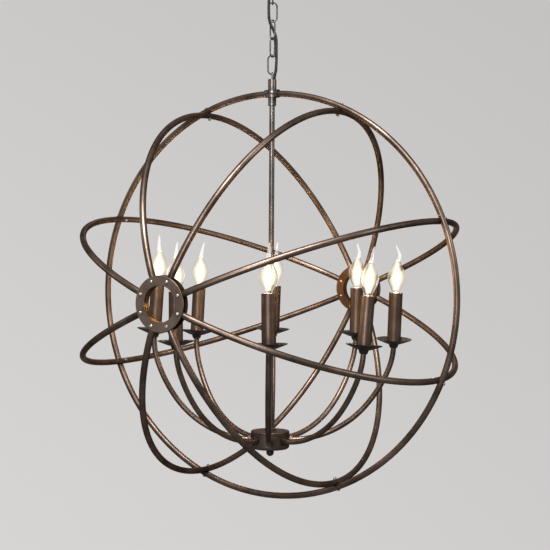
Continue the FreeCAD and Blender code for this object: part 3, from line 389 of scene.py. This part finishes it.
# deep and rubbed are the two tones of the cloudy paint; rough and smooth are their roughness.
# stretch draws out the brushed lines, and edgeTint is the tone at a grazing look
metals = {
    "tubeBronze": {
        "deep": (0.026, 0.0188, 0.0146), "rubbed": (0.076, 0.056, 0.045), "cloud": 14, "speckle": 0.25,
        "metallic": 0.92, "smooth": 0.29, "rough": 0.36, "bump": 0.015, "dust": 0.02,
    },
    "stemBronze": {
        "deep": (0.03, 0.027, 0.025), "rubbed": (0.075, 0.068, 0.063), "cloud": 14, "speckle": 0.3,
        "metallic": 0.95, "smooth": 0.27, "rough": 0.34, "bump": 0.04, "dust": 0.0, "stretch": (1, 1, 0.1),
    },
    "sleeveBronze": {
        "deep": (0.03, 0.0205, 0.0155), "rubbed": (0.058, 0.041, 0.032), "cloud": 18, "speckle": 0.3,
        "metallic": 0.9, "smooth": 0.32, "rough": 0.38, "bump": 0.02, "dust": 0.03, "stretch": (1, 1, 0.04),
    },
    "plateBronze": {
        "deep": (0.035, 0.026, 0.021), "rubbed": (0.064, 0.049, 0.041), "cloud": 40, "speckle": 0.5,
        "metallic": 0.7, "smooth": 0.36, "rough": 0.48, "bump": 0.07, "dust": 0.02,
    },
    "drumBronze": {
        "deep": (0.028, 0.021, 0.017), "rubbed": (0.064, 0.049, 0.04), "cloud": 28, "speckle": 0.35,
        "metallic": 0.9, "smooth": 0.27, "rough": 0.36, "bump": 0.05, "dust": 0.015,
        "stretch": (0.3, 0.3, 1),
    },
    "darkBronze": {
        "deep": (0.012, 0.0095, 0.008), "rubbed": (0.03, 0.022, 0.018), "cloud": 45, "speckle": 0.4,
        "metallic": 0.75, "smooth": 0.3, "rough": 0.45, "bump": 0.05, "dust": 0.04,
    },
    "panBronze": {
        "deep": (0.007, 0.0058, 0.005), "rubbed": (0.018, 0.014, 0.012), "cloud": 45, "speckle": 0.4,
        "metallic": 0.6, "smooth": 0.42, "rough": 0.55, "bump": 0.05, "dust": 0.0,
    },
    # painted shade: the plate finish made darker and warmer for the inner plates, which face the orb's inside
    "shadedInnerPlateBronze": {
        "edgeTint": (0.22, 0.15, 0.1),
        "deep": (0.014, 0.008, 0.005), "rubbed": (0.031, 0.018, 0.0108), "cloud": 40, "speckle": 0.5,
        "metallic": 0.75, "smooth": 0.36, "rough": 0.48, "bump": 0.07, "dust": 0.0,
    },
    "coreBronze": {
        "edgeTint": (0.6, 0.45, 0.3),
        "deep": (0.04, 0.025, 0.016), "rubbed": (0.085, 0.056, 0.038), "cloud": 40, "speckle": 0.4,
        "metallic": 0.95, "smooth": 0.14, "rough": 0.22, "bump": 0.04, "dust": 0.0,
    },
    "chainBronze": {
        "deep": (0.016, 0.015, 0.014), "rubbed": (0.06, 0.056, 0.052), "cloud": 120, "speckle": 0.5,
        "metallic": 0.8, "smooth": 0.28, "rough": 0.45, "bump": 0.08, "dust": 0.03,
    },
    "nickel": {
        "edgeTint": (1.0, 1.0, 1.0),
        "deep": (0.26, 0.245, 0.225), "rubbed": (0.46, 0.44, 0.41), "cloud": 200, "speckle": 0.3,
        "metallic": 1.0, "smooth": 0.24, "rough": 0.4, "bump": 0.04, "dust": 0.0,
    },
    "dullSteel": {
        "deep": (0.07, 0.062, 0.056), "rubbed": (0.15, 0.135, 0.12), "cloud": 200, "speckle": 0.4,
        "metallic": 0.9, "smooth": 0.36, "rough": 0.5, "bump": 0.04, "dust": 0.0,
    },
    "zinc": {
        "edgeTint": (1.0, 1.0, 1.0),
        "deep": (0.42, 0.42, 0.4), "rubbed": (0.6, 0.6, 0.58), "cloud": 90, "speckle": 0.4,
        "metallic": 0.95, "smooth": 0.3, "rough": 0.5, "bump": 0.05, "dust": 0.1, "stretch": (0.1, 1, 1),
    },
    "brass": {
        "edgeTint": (1.0, 0.9, 0.7),
        "deep": (0.42, 0.28, 0.1), "rubbed": (0.62, 0.44, 0.18), "cloud": 150, "speckle": 0.3,
        "metallic": 1.0, "smooth": 0.22, "rough": 0.38, "bump": 0.03, "dust": 0.0,
    },
}


metalWork = {
    "dustTint": (0.3, 0.27, 0.24), "edgeTint": (0.32, 0.27, 0.24), "stretch": (1, 1, 1),
    # how much the roughness varies, and how deep the brushed lines are, in metres
    "unevenness": 0.12, "depth": 0.0004,
}


def newMaterial(name):
    material = bpy.data.materials.new(name)
    material.use_nodes = True
    material.node_tree.nodes.clear()
    return material, material.node_tree


def buildMetal(name, look):
    material, tree = newMaterial(name)
    look = {**metalWork, **look}
    paint = groupNode(tree, patina, Deep=(*look["deep"], 1), Rubbed=(*look["rubbed"], 1),
                      Cloud_Size=look["cloud"], Speckle=look["speckle"])
    lines = groupNode(tree, brushing, Stretch=look["stretch"]).outputs["Lines"]
    lying = groupNode(tree, dust, Amount=look["dust"])
    colour = mixColour(tree, lying.outputs["Mask"], paint.outputs["Color"], (*look["dustTint"], 1))
    roughness = mapRange(tree, paint.outputs["Rubbing"], 0.0, 1.0, look["rough"], look["smooth"])
    relief = addNode(tree, "ShaderNodeBump", {
        "Height": lines, "Strength": look["bump"], "Distance": look["depth"],
    })
    shader = addNode(tree, "ShaderNodeBsdfPrincipled", {
        "Base Color": colour, "Metallic": look["metallic"], "Normal": relief.outputs[0],
        "Roughness": maths(tree, "MULTIPLY_ADD", lines, look["unevenness"], roughness),
        "Specular Tint": (*look["edgeTint"], 1),
    })
    addNode(tree, "ShaderNodeOutputMaterial", {"Surface": shader.outputs[0]})
    return material


materials = {name: buildMetal(name, look) for name, look in metals.items()}


plastics = {
    "cableSheath": {
        "deep": (0.0025, 0.0025, 0.0025), "rubbed": (0.006, 0.0058, 0.0055), "rough": 0.5, "coat": 0.0,
        "shine": 0.1,
    },
    "glandRubber": {
        "deep": (0.008, 0.008, 0.008), "rubbed": (0.02, 0.02, 0.019), "rough": 0.7, "coat": 0.0,
    },
    "ivoryPlastic": {"deep": (0.5, 0.46, 0.36), "rubbed": (0.62, 0.58, 0.47), "rough": 0.4, "coat": 0.1},
    "holderPlastic": {
        "deep": (0.012, 0.01, 0.009), "rubbed": (0.03, 0.026, 0.022), "rough": 0.38, "coat": 0.2,
    },
    "wireSheath": {"deep": (0.02, 0.02, 0.02), "rubbed": (0.04, 0.04, 0.04), "rough": 0.45, "coat": 0.1},
}
plasticWork = {
    "cloud": 60.0, "grain": 1800.0, "speckle": 0.25, "shine": 0.5, "coatRoughness": 0.3,
    "unevenness": 0.06, "bump": 0.05, "depth": 0.0003,
}


def buildPlastic(name, look):
    material, tree = newMaterial(name)
    look = {**plasticWork, **look}
    tone = groupNode(tree, patina, Deep=(*look["deep"], 1), Rubbed=(*look["rubbed"], 1),
                     Cloud_Size=look["cloud"], Speckle_Size=look["grain"], Speckle=look["speckle"])
    low, high = look["rough"] - look["unevenness"], look["rough"] + look["unevenness"]
    relief = addNode(tree, "ShaderNodeBump", {
        "Height": tone.outputs["Grain"], "Strength": look["bump"], "Distance": look["depth"],
    })
    shader = addNode(tree, "ShaderNodeBsdfPrincipled", {
        "Base Color": tone.outputs["Color"], "Normal": relief.outputs[0],
        "Roughness": mapRange(tree, tone.outputs["Rubbing"], 0.0, 1.0, low, high),
        "Coat Weight": look["coat"], "Coat Roughness": look["coatRoughness"],
        "Specular IOR Level": look["shine"],
    })
    addNode(tree, "ShaderNodeOutputMaterial", {"Surface": shader.outputs[0]})
    return material


materials.update({name: buildPlastic(name, look) for name, look in plastics.items()})


glass = {
    "clear": (1.0, 0.985, 0.965), "warm": (0.985, 0.96, 0.93), "roughness": 0.02, "bend": 1.12,
    "waves": 90.0, "bump": 0.15, "depth": 0.001,
    "tailTint": (1.0, 0.985, 0.97), "tailLight": 0.5, "tailAlpha": 0.35,
}
# three shells of light inside each glass
glows = {
    "glowOuter": {"tint": (1.0, 0.85, 0.54), "strength": 1.2, "alpha": 0.2, "soft": 1.1},
    "glowMiddle": {"tint": (1.0, 0.88, 0.56), "strength": 1.7, "alpha": 0.5, "soft": 1.3},
    "glowInner": {"tint": (1.0, 0.94, 0.74), "strength": 3.6, "alpha": 0.75, "soft": 1.2},
}
flicker = {"tint": (1.0, 0.9, 0.66), "scale": 120.0}


def buildGlass():
    material, tree = newMaterial("bulbGlass")
    spot = addNode(tree, "ShaderNodeTexCoord").outputs["Object"]
    wave = addNode(tree, "ShaderNodeTexNoise", {"Vector": spot, "Scale": glass["waves"], "Detail": 1.0})
    relief = addNode(tree, "ShaderNodeBump", {
        "Height": wave.outputs["Fac"], "Strength": glass["bump"], "Distance": glass["depth"],
    })
    # 0 on the clear body, 1 on the milky tail
    tail = addNode(tree, "ShaderNodeAttribute", attribute_name="tail").outputs["Fac"]
    shader = addNode(tree, "ShaderNodeBsdfPrincipled", {
        "Base Color": mixColour(tree, wave.outputs["Fac"], (*glass["clear"], 1), (*glass["warm"], 1)),
        "Roughness": glass["roughness"], "IOR": glass["bend"], "Transmission Weight": 1.0,
        "Emission Color": (*glass["tailTint"], 1),
        "Emission Strength": mapRange(tree, tail, 0.0, 1.0, 0.0, glass["tailLight"]),
        "Alpha": mapRange(tree, tail, 0.0, 1.0, 1.0, glass["tailAlpha"]), "Normal": relief.outputs[0],
    })
    addNode(tree, "ShaderNodeOutputMaterial", {"Surface": shader.outputs[0]})
    return material


def buildGlow(name, look):
    material, tree = newMaterial(name)
    spot = addNode(tree, "ShaderNodeTexCoord").outputs["Object"]
    noise = addNode(tree, "ShaderNodeTexNoise", {"Vector": spot, "Scale": flicker["scale"], "Detail": 1.0})
    colour = mixColour(tree, noise.outputs["Fac"], (*look["tint"], 1), (*flicker["tint"], 1))
    # each shell thins out towards its outline, so the light has no edge
    edge = addNode(tree, "ShaderNodeLayerWeight", {"Blend": 0.5}).outputs["Facing"]
    fade = maths(tree, "POWER", maths(tree, "SUBTRACT", 1.0, edge), look["soft"])
    shader = addNode(tree, "ShaderNodeBsdfPrincipled", {
        "Base Color": (0.0, 0.0, 0.0, 1), "Roughness": 0.6, "Specular IOR Level": 0.0,
        "Emission Color": colour, "Emission Strength": look["strength"],
        "Alpha": maths(tree, "MULTIPLY", fade, look["alpha"]),
    })
    addNode(tree, "ShaderNodeOutputMaterial", {"Surface": shader.outputs[0]})
    return material


materials["bulbGlass"] = buildGlass()
materials.update({name: buildGlow(name, look) for name, look in glows.items()})
print("materials built:", len(materials))


finishes = {
    "tubeBronze": ["equator_ring", *[f"orb_rib_{number}" for number in range(1, 9)], "lamp_arms"],
    "stemBronze": ["stem", "top_neck", "ring_hanger", "lower_collar", "top_loop"],
    "sleeveBronze": ["candle_sleeves"],
    "plateBronze": ["front_hub_outer_plate", "rear_hub_outer_plate"],
    # the inner plates take the darker copy of the plate finish, painted shade
    "shadedInnerPlateBronze": ["front_hub_inner_plate", "rear_hub_inner_plate"],
    "coreBronze": ["front_hub_core", "rear_hub_core"],
    "panBronze": ["drip_pans"],
    "drumBronze": ["drum", "drum_cover", "canopy", "canopy_collar"],
    "darkBronze": ["cover_collar", "finial", "canopy_loop"],
    "chainBronze": [f"chain_link_{number}" for number in range(1, 6)],
    "zinc": ["ceiling_bracket"],
    "glandRubber": ["cable_gland"],
    "ivoryPlastic": ["wire_block"],
    "holderPlastic": ["lamp_holders"],
    "wireSheath": ["lamp_wires"],
}
for finish, names in finishes.items():
    for name in names:
        for place in nodes[name].material_slots:
            place.material = materials[finish]
print("finishes given to", sum(len(names) for names in finishes.values()), "nodes")


cable = {
    "diameter": 0.0054, "sides": 20, "bend": 0.011, "steps": 12,
    # the heights at which one piece meets the next, and those of the links' bars
    "meets": [-0.22125, -0.188, -0.15475, -0.1205, -0.086],
    "bars": [-0.2365, -0.2025, -0.1685, -0.1345, -0.1005, -0.0666],
    "bodies": ["orb", "link_1", "link_2", "link_3", "link_4", "link_5", "ceiling"],
    # to the right, away from the viewer and down from the ceiling
    "route": [
        (0.0039, -0.0023, -0.2565), (0.0039, -0.0023, -0.2452), (0.0055, -0.0048, -0.236),
        (0.007, -0.0051, -0.227), (0.0078, -0.005, -0.2155), (0.0079, -0.0047, -0.205),
        (0.0078, -0.0045, -0.194), (0.0077, -0.0042, -0.182), (0.0076, -0.0038, -0.17),
        (0.0062, -0.0016, -0.1615), (0.0008, -0.0017, -0.148), (-0.0048, -0.0034, -0.1385),
        (-0.007, -0.0051, -0.128), (-0.0077, -0.0049, -0.113), (-0.0076, -0.0049, -0.102),
        (-0.0074, -0.005, -0.093), (-0.0075, -0.0053, -0.079), (-0.0092, -0.0064, -0.068),
        (-0.0136, -0.009, -0.057), (-0.0162, -0.0106, -0.046), (-0.0162, -0.0106, -0.0241),
    ],
}


def splinePoints(name, points):
    # points read along a smooth curve that has these as its control points
    data = bpy.data.curves.new(name, "CURVE")
    data.dimensions = "3D"
    spline = data.splines.new("NURBS")
    spline.points.add(len(points) - 1)
    for target, point in zip(spline.points, points):
        target.co = (*point, 1)
    spline.order_u = 3
    spline.use_endpoint_u = True
    spline.resolution_u = cable["steps"]
    item = bpy.data.objects.new(name, data)
    bpy.context.scene.collection.objects.link(item)
    mesh = bpy.data.meshes.new_from_object(item)
    read = [vertex.co.copy() for vertex in mesh.vertices]
    bpy.data.objects.remove(item)
    return read


def splitAt(points, heights):
    # the line cut where it reaches each height
    parts, heights = [[points[0]]], list(heights)
    for before, after in zip(points, points[1:]):
        while heights and before.z < heights[0] <= after.z:
            share = (heights.pop(0) - before.z) / (after.z - before.z)
            meeting = before.lerp(after, share)
            parts[-1].append(meeting)
            parts.append([meeting])
        if (after - parts[-1][-1]).length > 1e-6:
            parts[-1].append(after)
    return parts


def buildCable():
    route = [viewRight * right + viewAway * away + Vector((0, 0, up)) for right, away, up in cable["route"]]
    paths = splitAt(splinePoints("cableLine", route), cable["meets"])
    for number, path in enumerate(paths, start=1):
        piece = meshObject(f"cable{number}", *sweep(path, cable["diameter"] / 2, cable["sides"]),
                           materials["cableSheath"])
        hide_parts(f"cable_{number}")
        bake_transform(piece)
    print("cable built")


buildCable()


screws = {
    "headRadius": 0.0028, "headHeight": 0.0021, "shankRadius": 0.002, "sides": 32,
    "cross": (0.0036, 0.0009, 0.0011),          # length, width and depth of the cross in each head
    # the shank's end and the head, as shares of their radii and of the head's height
    "end": (0.75, 0.4),
    "head": [(0.96, 0), (1, 0.1), (1, 0.3), (0.93, 0.6), (0.74, 0.86), (0.4, 0.98), (0, 1)],
    "hubCircle": 0.042, "hubSeat": 0.38885, "hubReach": 0.0169, "hubSpin": 0.7,
    "crossingSeat": 0.40015, "crossingReach": 0.0259, "crossingSpin": 1.1, "count": 8,
}
nuts = {
    "sides": 48, "bevel": 0.6,
    "crossing": {"corner": 0.0035, "bore": 0.0021, "height": 0.003, "seat": 0.3754, "spin": 0.4},
    # outer and inner are a nut's distance from the axis and its height
    "arm": {
        "corner": 0.0085, "bore": 0.00555, "spin": 0.5, "outer": (0.0383, 0.006), "inner": (0.0312, 0.004),
    },
    "loop": {"corner": 0.0085, "bore": 0.0052},
    # the arms' height and first direction, the step from one to the next, and each arm's tilt
    "armHeight": -0.952, "armTurn": -61.7, "armStep": 45,
    "armRolls": (1.2, 3.2, -4, -0.5, 0.8, -4.2, -1.6, -1.4),
}
bodyOf = {node: body for body, names in frame["record"]["behaviour"]["bodies"].items() for node in names}


def boxShape(low, high):
    corners = [(x, y, z) for x in (low[0], high[0]) for y in (low[1], high[1]) for z in (low[2], high[2])]
    return corners, [(0, 1, 3, 2), (4, 6, 7, 5), (0, 4, 5, 1), (2, 3, 7, 6), (0, 2, 6, 4), (1, 5, 7, 3)]


def cutShape(shape, cutters):
    # the shape less each cutter, both as vertices and faces
    scratch = bpy.data.materials.new("scratch")
    blank = meshObject("blank", *shape, scratch)
    tools = [meshObject("cutter", *cutter, scratch) for cutter in cutters]
    for tool in tools:
        cut = blank.modifiers.new("cut", "BOOLEAN")
        cut.operation = "DIFFERENCE"
        cut.solver = "EXACT"
        cut.object = tool
    mesh = bpy.data.meshes.new_from_object(blank.evaluated_get(bpy.context.evaluated_depsgraph_get()))
    vertices = [vertex.co.copy() for vertex in mesh.vertices]
    faces = [tuple(side.vertices) for side in mesh.polygons]
    for item in (blank, *tools):
        bpy.data.objects.remove(item)
    bpy.data.meshes.remove(mesh)
    bpy.data.materials.remove(scratch)
    return vertices, faces


def crossHeadScrew(reach):
    # the underside of its head is at 0 and its shank hangs below
    head, height, shank = screws["headRadius"], screws["headHeight"], screws["shankRadius"]
    length, width, depth = (share / 2 for share in screws["cross"])
    tip, slope = screws["end"]
    profile = [(0, -reach), (shank * tip, -reach), (shank, -reach + shank * slope), (shank, 0)]
    profile += [(head * across, height * up) for across, up in screws["head"]]
    floor, top = height - 2 * depth, height * 2
    first = boxShape((-length, -width, floor), (length, width, top))
    second = boxShape((-width, -length, floor), (width, length, top))
    return cutShape(lathe(profile, screws["sides"]), [first, second])


def hexNut(corner, bore, height):
    # six flats with turned-off corners, standing on 0
    flat = corner * math.cos(math.pi / 6)
    edge = (corner - flat) * nuts["bevel"]
    loop = [(bore, 0), (flat, 0), (corner, edge), (corner, height - edge), (flat, height), (bore, height)]
    sides = nuts["sides"]
    vertices, faces = [], []
    for limit, level in loop:
        for side in range(sides):
            turn = 2 * math.pi * side / sides
            across = (turn + math.pi / 6) % (math.pi / 3) - math.pi / 6
            radius = bore if limit == bore else min(limit, flat / math.cos(across))
            vertices.append((radius * math.cos(turn), radius * math.sin(turn), level))
    for number in range(len(loop)):
        start, end = number * sides, (number + 1) % len(loop) * sides
        for side in range(sides):
            following = (side + 1) % sides
            faces.append((start + side, start + following, end + following, end + side))
    return vertices, faces


def outwardFrom(number):
    # the direction from the orb's middle to a rib's crossing
    turn = 2 * math.pi * (number + 0.5) / screws["count"]
    return Vector((math.sin(turn), 0, math.cos(turn)))


def turned(degrees, axis):
    return Matrix.Rotation(math.radians(degrees), 4, axis)


def raised(height):
    return Matrix.Translation((0, 0, height))


def smallPiece(name, shapes, finish, node):
    # one piece made of shapes, in place of a CAD node and on that node's body
    piece = meshObject(name, *joined(shapes), materials[finish], crease=30)
    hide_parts(node)
    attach(piece, bodyOf[node])


def buildScrews():
    short, long = crossHeadScrew(screws["hubReach"]), crossHeadScrew(screws["crossingReach"])
    hubShapes, crossingShapes = [], []
    for number in range(screws["count"]):
        outward = outwardFrom(number)
        for side in (-1, 1):
            facing = Vector((0, side, 0))
            spot = orbMiddle + outward * screws["hubCircle"] + facing * screws["hubSeat"]
            hubShapes.append(placed(short, standing(spot, facing, screws["hubSpin"] * number + side)))
        spot = orbMiddle + outward * screws["crossingSeat"]
        crossingShapes.append(placed(long, standing(spot, outward, screws["crossingSpin"] * number)))
    smallPiece("hubScrews", hubShapes, "nickel", "hub_screws")
    smallPiece("crossingScrews", crossingShapes, "dullSteel", "crossing_screws")


def buildCrossingNuts():
    crossing = nuts["crossing"]
    plain = hexNut(crossing["corner"], crossing["bore"], crossing["height"])
    shapes = []
    for number in range(screws["count"]):
        outward = outwardFrom(number)
        spot = orbMiddle + outward * crossing["seat"]
        shapes.append(placed(plain, standing(spot, outward, crossing["spin"] * number)))
    smallPiece("crossingNuts", shapes, "dullSteel", "crossing_nuts")


def buildArmNuts():
    # two on each arm, one outside the drum and one inside
    arm = nuts["arm"]
    shapes = []
    for number, roll in enumerate(nuts["armRolls"]):
        facing = turned(nuts["armTurn"] + nuts["armStep"] * number, "Z") @ turned(-roll, "X")
        for near, height in (arm["outer"], arm["inner"]):
            spin = Matrix.Rotation(arm["spin"] * number, 4, "Z")
            lying = Matrix.Translation((near, 0, 0)) @ turned(90, "Y") @ spin
            nut = hexNut(arm["corner"], arm["bore"], height)
            shapes.append(placed(nut, raised(nuts["armHeight"]) @ facing @ lying))
    smallPiece("armNuts", shapes, "darkBronze", "arm_nuts")


def buildLoopNut():
    loop = nuts["loop"]
    low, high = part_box("loop_nut")
    nut = hexNut(loop["corner"], loop["bore"], high[2] - low[2])
    smallPiece("loopNut", [placed(nut, raised(low[2]))], "nickel", "loop_nut")


buildScrews()
buildCrossingNuts()
buildArmNuts()
buildLoopNut()
print("screws and nuts built")


# a strip of three ways, each with a walled screw at both ends, that looks down
terminal = {
    "ways": 3, "body": 0.0065,                  # height of its body, from the bracket down
    "edge": 0.0012, "inset": 0.0043, "sides": 24,
    "tower": 0.003, "flare": 0.0003, "wall": 0.0009,
    "screw": 0.0016, "bevel": 0.85, "spin": 2.0,
    # a screw's levels below the body's shelf: its foot, its bevel, its head and the slot's floor
    "foot": -0.001, "shoulder": 0.0016, "head": 0.0019, "slotFloor": 0.0012, "slotTop": 0.003,
    "slot": 0.0005,
}


def terminalScrew(shelf):
    screw, across, sides = terminal["screw"], terminal["slot"] / 2, terminal["sides"]
    foot, shoulder, head = (shelf - terminal[level] for level in ("foot", "shoulder", "head"))
    profile = [(0, foot), (screw, foot), (screw, shoulder), (screw * terminal["bevel"], head), (0, head)]
    groove = boxShape((-2 * screw, -across, shelf - terminal["slotTop"]),
                      (2 * screw, across, shelf - terminal["slotFloor"]))
    return cutShape(lathe(profile, sides), [groove])


def buildTerminal():
    low, high = (Vector(corner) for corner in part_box("terminal_block"))
    wide = (high.x - low.x) / terminal["ways"]
    shelf = high.z - terminal["body"]
    edge, inset, tower = terminal["edge"], terminal["inset"], terminal["tower"]
    inner = tower - terminal["wall"]
    shapes = [boxShape((low.x, low.y + edge, shelf), (high.x, high.y - edge, high.z))]
    heads = []
    for way in range(terminal["ways"]):
        for end, across in enumerate((low.y + inset, high.y - inset)):
            spot = Matrix.Translation((low.x + wide * (way + 0.5), across, 0))
            profile = [(inner, shelf), (inner, low.z), (tower, low.z), (tower + terminal["flare"], shelf)]
            shapes.append(placed(lathe([*profile, profile[0]], terminal["sides"]), spot))
            spin = Matrix.Rotation(way + terminal["spin"] * end, 4, "Z")
            heads.append(placed(terminalScrew(shelf), spot @ spin))
    smallPiece("terminalBlock", shapes, "ivoryPlastic", "terminal_block")
    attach(meshObject("terminalScrews", *joined(heads), materials["brass"], crease=30), "ceiling")
    print("terminal block built")


buildTerminal()


# side and rise say where on a link its joint is: from its axis, and above its lowest bar
welds = {
    "sides": 24, "side": 0.0085, "rise": 0.01865,
    "profile": [
        (0.0, -0.0019), (0.0013, -0.0019), (0.00158, -0.0014), (0.00168, -0.0008), (0.00175, 0.0),
        (0.00167, 0.0007), (0.00157, 0.0013), (0.0013, 0.0018), (0.0, 0.0018),
    ],
    "bars": (-0.2365, -0.2025, -0.1685, -0.1345, -0.1005), "turns": (30, 90, -30, 30, 120),
}


def buildWelds():
    # the low bead that closes each link
    for number, (bar, turn) in enumerate(zip(welds["bars"], welds["turns"]), start=1):
        spot = turned(turn, "Z") @ Vector((welds["side"], 0, 0)) + Vector((0, 0, bar + welds["rise"]))
        shape = placed(lathe(welds["profile"], welds["sides"]), Matrix.Translation(spot))
        bead = meshObject(f"linkWeld{number}", *shape, materials["chainBronze"], crease=60)
        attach(bead, f"link_{number}")
    print("welds built")


buildWelds()


# all heights are above the holder's edge, and all profiles are (radius, height)
bulb = {
    "rim": 0.0989,              # height of the holder's edge above the pan's foot
    "sides": 40, "wall": 0.0007, "steps": 3,
    "body": [
        (0.0068, -0.002), (0.0073, 0.001), (0.0082, 0.005), (0.0106, 0.0105), (0.0138, 0.017),
        (0.0163, 0.0235), (0.0174, 0.0295), (0.01725, 0.0355), (0.0158, 0.0415), (0.0132, 0.0475),
        (0.0101, 0.0532), (0.0072, 0.058), (0.0051, 0.0625), (0.0039, 0.067),
    ],
    "tail": [
        (0.0033, 0.0715), (0.0029, 0.076), (0.0025, 0.0805), (0.0021, 0.085), (0.0016, 0.0893),
        (0.001, 0.0925), (0.0, 0.0935),
    ],
    "hollow": (0.0, 0.064, 0.0665),             # the hollow's lowest, highest and last height
    "base": [
        (0.0, -0.027), (0.003, -0.027), (0.0045, -0.0265), (0.0045, -0.0245), (0.0062, -0.0215),
        (0.0067, -0.0195),
    ],
    "thread": {
        "low": -0.0192, "high": -0.0035, "pitch": 0.003, "radius": 0.0066, "rise": 0.00032, "steps": 8,
    },
    "collar": [
        (0.0068, -0.003), (0.0072, -0.0012), (0.0074, 0.0006), (0.0071, 0.0018), (0.0066, 0.0018),
        (0.006, -0.0005), (0.0, -0.0005),
    ],
    "tailBend": 0.058, "bulgeReach": 1.15,
    # how far each tail bulges and ends to the right of its axis, seen from the front,
    # and how far towards the viewer
    "tails": [
        (0.001, 0.003, 0.002), (0.001, 0.0048, -0.001), (0.0046, -0.0026, 0.001),
        (0.0036, -0.0005, 0.002), (0.001, 0.003, -0.002), (0.0005, 0.0065, 0.001),
        (-0.0015, -0.003, 0.002), (0.0006, 0.0036, -0.001),
    ],
    "tailStart": 0.061, "tailBlend": 0.012,     # where the glass turns milky
}
# the shells of light: each one's share of the glass's width, and the heights that it fills
glowShells = {
    "shares": {"glowOuter": 0.93, "glowMiddle": 0.7, "glowInner": 0.42},
    "low": 0.004, "lowRise": 0.008, "high": 0.066, "highDrop": 0.02,
    "first": 0.001, "span": 0.066, "caps": (0.0008, 0.001), "sides": 24,
}
bulbLight = {"power": 1.3, "tint": (1.0, 0.61, 0.27), "radius": 0.009, "height": 0.03}


def tailBend(bulge, tip, forward):
    start, end = bulb["tailBend"], bulb["tail"][-1][1]

    def shift(height):
        share = max(0.0, (height - start) / (end - start))
        lean = bulge * math.sin(math.pi * min(1.0, share * bulb["bulgeReach"])) + tip * share ** 2.2
        ahead = forward * share ** 2
        return (viewRight * lean - viewAway * ahead)[:2]
    return shift


def smoothed(profile, steps):
    # a profile with points added between its own, on a smooth curve through them
    made = []
    for number in range(len(profile) - 1):
        before = Vector(profile[max(number - 1, 0)])
        start, end = Vector(profile[number]), Vector(profile[number + 1])
        after = Vector(profile[min(number + 2, len(profile) - 1)])
        for step in range(steps):
            share = step / steps
            slope = (end - before) * share
            swell = (before * 2 - start * 5 + end * 4 - after) * share ** 2
            twist = (start * 3 - before - end * 3 + after) * share ** 3
            point = (start * 2 + slope + swell + twist) / 2
            made.append((max(point.x, 0.0), point.y))
    made.append(tuple(profile[-1]))
    return made


def baseProfile():
    thread = bulb["thread"]
    low, high = thread["low"], thread["high"]
    steps = round((high - low) / thread["pitch"] * thread["steps"])
    profile = list(bulb["base"])
    for step in range(steps + 1):
        wave = thread["rise"] * math.cos(2 * math.pi * step / thread["steps"])
        profile.append((thread["radius"] - wave, low + (high - low) * step / steps))
    return profile + bulb["collar"]


def glassShape(body, shift):
    # an outer and an inner skin that meet in a lip at the bottom
    sides = bulb["sides"]
    outside = body[:-1] + smoothed([bulb["body"][-1], *bulb["tail"]], bulb["steps"])
    lowest, highest, last = bulb["hollow"]
    inside = [(radius - bulb["wall"], height) for radius, height in body if lowest < height < highest]
    vertices, faces = lathe([*inside, (0.0, last)], sides, shift)
    shape = joined([lathe(outside, sides, shift), (vertices, [tuple(reversed(side)) for side in faces])])
    lip = len(shape[0]) - len(vertices)
    for side in range(sides):
        following = (side + 1) % sides
        shape[1].append((following, side, lip + side, lip + following))
    return shape


def buildGlassPiece(number, body, stand):
    shape = glassShape(body, tailBend(*bulb["tails"][number]))
    piece = meshObject(f"bulbGlass{number + 1}", *placed(shape, stand), materials["bulbGlass"], crease=60)
    milky = piece.data.attributes.new("tail", "FLOAT", "POINT")
    for place, vertex in zip(milky.data, shape[0]):
        place.value = min(max((vertex[2] - bulb["tailStart"]) / bulb["tailBlend"], 0.0), 1.0)
    piece.visible_shadow = False
    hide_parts(f"bulb_{number + 1}")
    return piece


def buildGlowPiece(name, finish, share, body, stand):
    low = glowShells["low"] + glowShells["lowRise"] * (1 - share)
    high = glowShells["high"] - glowShells["highDrop"] * (1 - share)
    profile = [(radius * share, low + (height - glowShells["first"]) / glowShells["span"] * (high - low))
               for radius, height in body if height >= glowShells["first"]]
    under, over = glowShells["caps"]
    profile = [(0.0, low - under), *profile, (0.0, profile[-1][1] + over)]
    shape = placed(lathe(profile, glowShells["sides"]), stand)
    piece = meshObject(name, *shape, materials[finish], crease=80)
    piece.visible_shadow = False
    return piece


def buildBulbLight(name, stand):
    data = bpy.data.lights.new(name, "POINT")
    data.energy = bulbLight["power"]
    data.color = bulbLight["tint"]
    data.shadow_soft_size = bulbLight["radius"]
    lamp = bpy.data.objects.new(name, data)
    lamp.location = stand @ Vector((0, 0, bulbLight["height"]))
    lamp.visible_camera = False
    lamp.visible_transmission = False
    bpy.context.scene.collection.objects.link(lamp)
    return lamp


def buildBulbs():
    hinges = {hinge["name"]: hinge for hinge in frame["joints"]}
    body = smoothed(bulb["body"], bulb["steps"])
    base = lathe(baseProfile(), bulb["sides"])
    for number in range(len(bulb["tails"])):
        hinge = hinges[f"bulb_{number + 1}_screw"]
        up = Vector(hinge["axis"]).normalized()
        stand = standing(Vector(hinge["pos_m"]) + up * bulb["rim"], hinge["axis"])
        pieces = [buildGlassPiece(number, body, stand)]
        shape = placed(base, stand)
        pieces.append(meshObject(f"bulbBase{number + 1}", *shape, materials["nickel"], crease=40))
        for layer, share in glowShells["shares"].items():
            pieces.append(buildGlowPiece(f"{layer}{number + 1}", layer, share, body, stand))
        pieces.append(buildBulbLight(f"bulbLight{number + 1}", stand))
        for piece in pieces:
            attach(piece, f"lamp_{number + 1}")
    print("bulbs built")


buildBulbs()
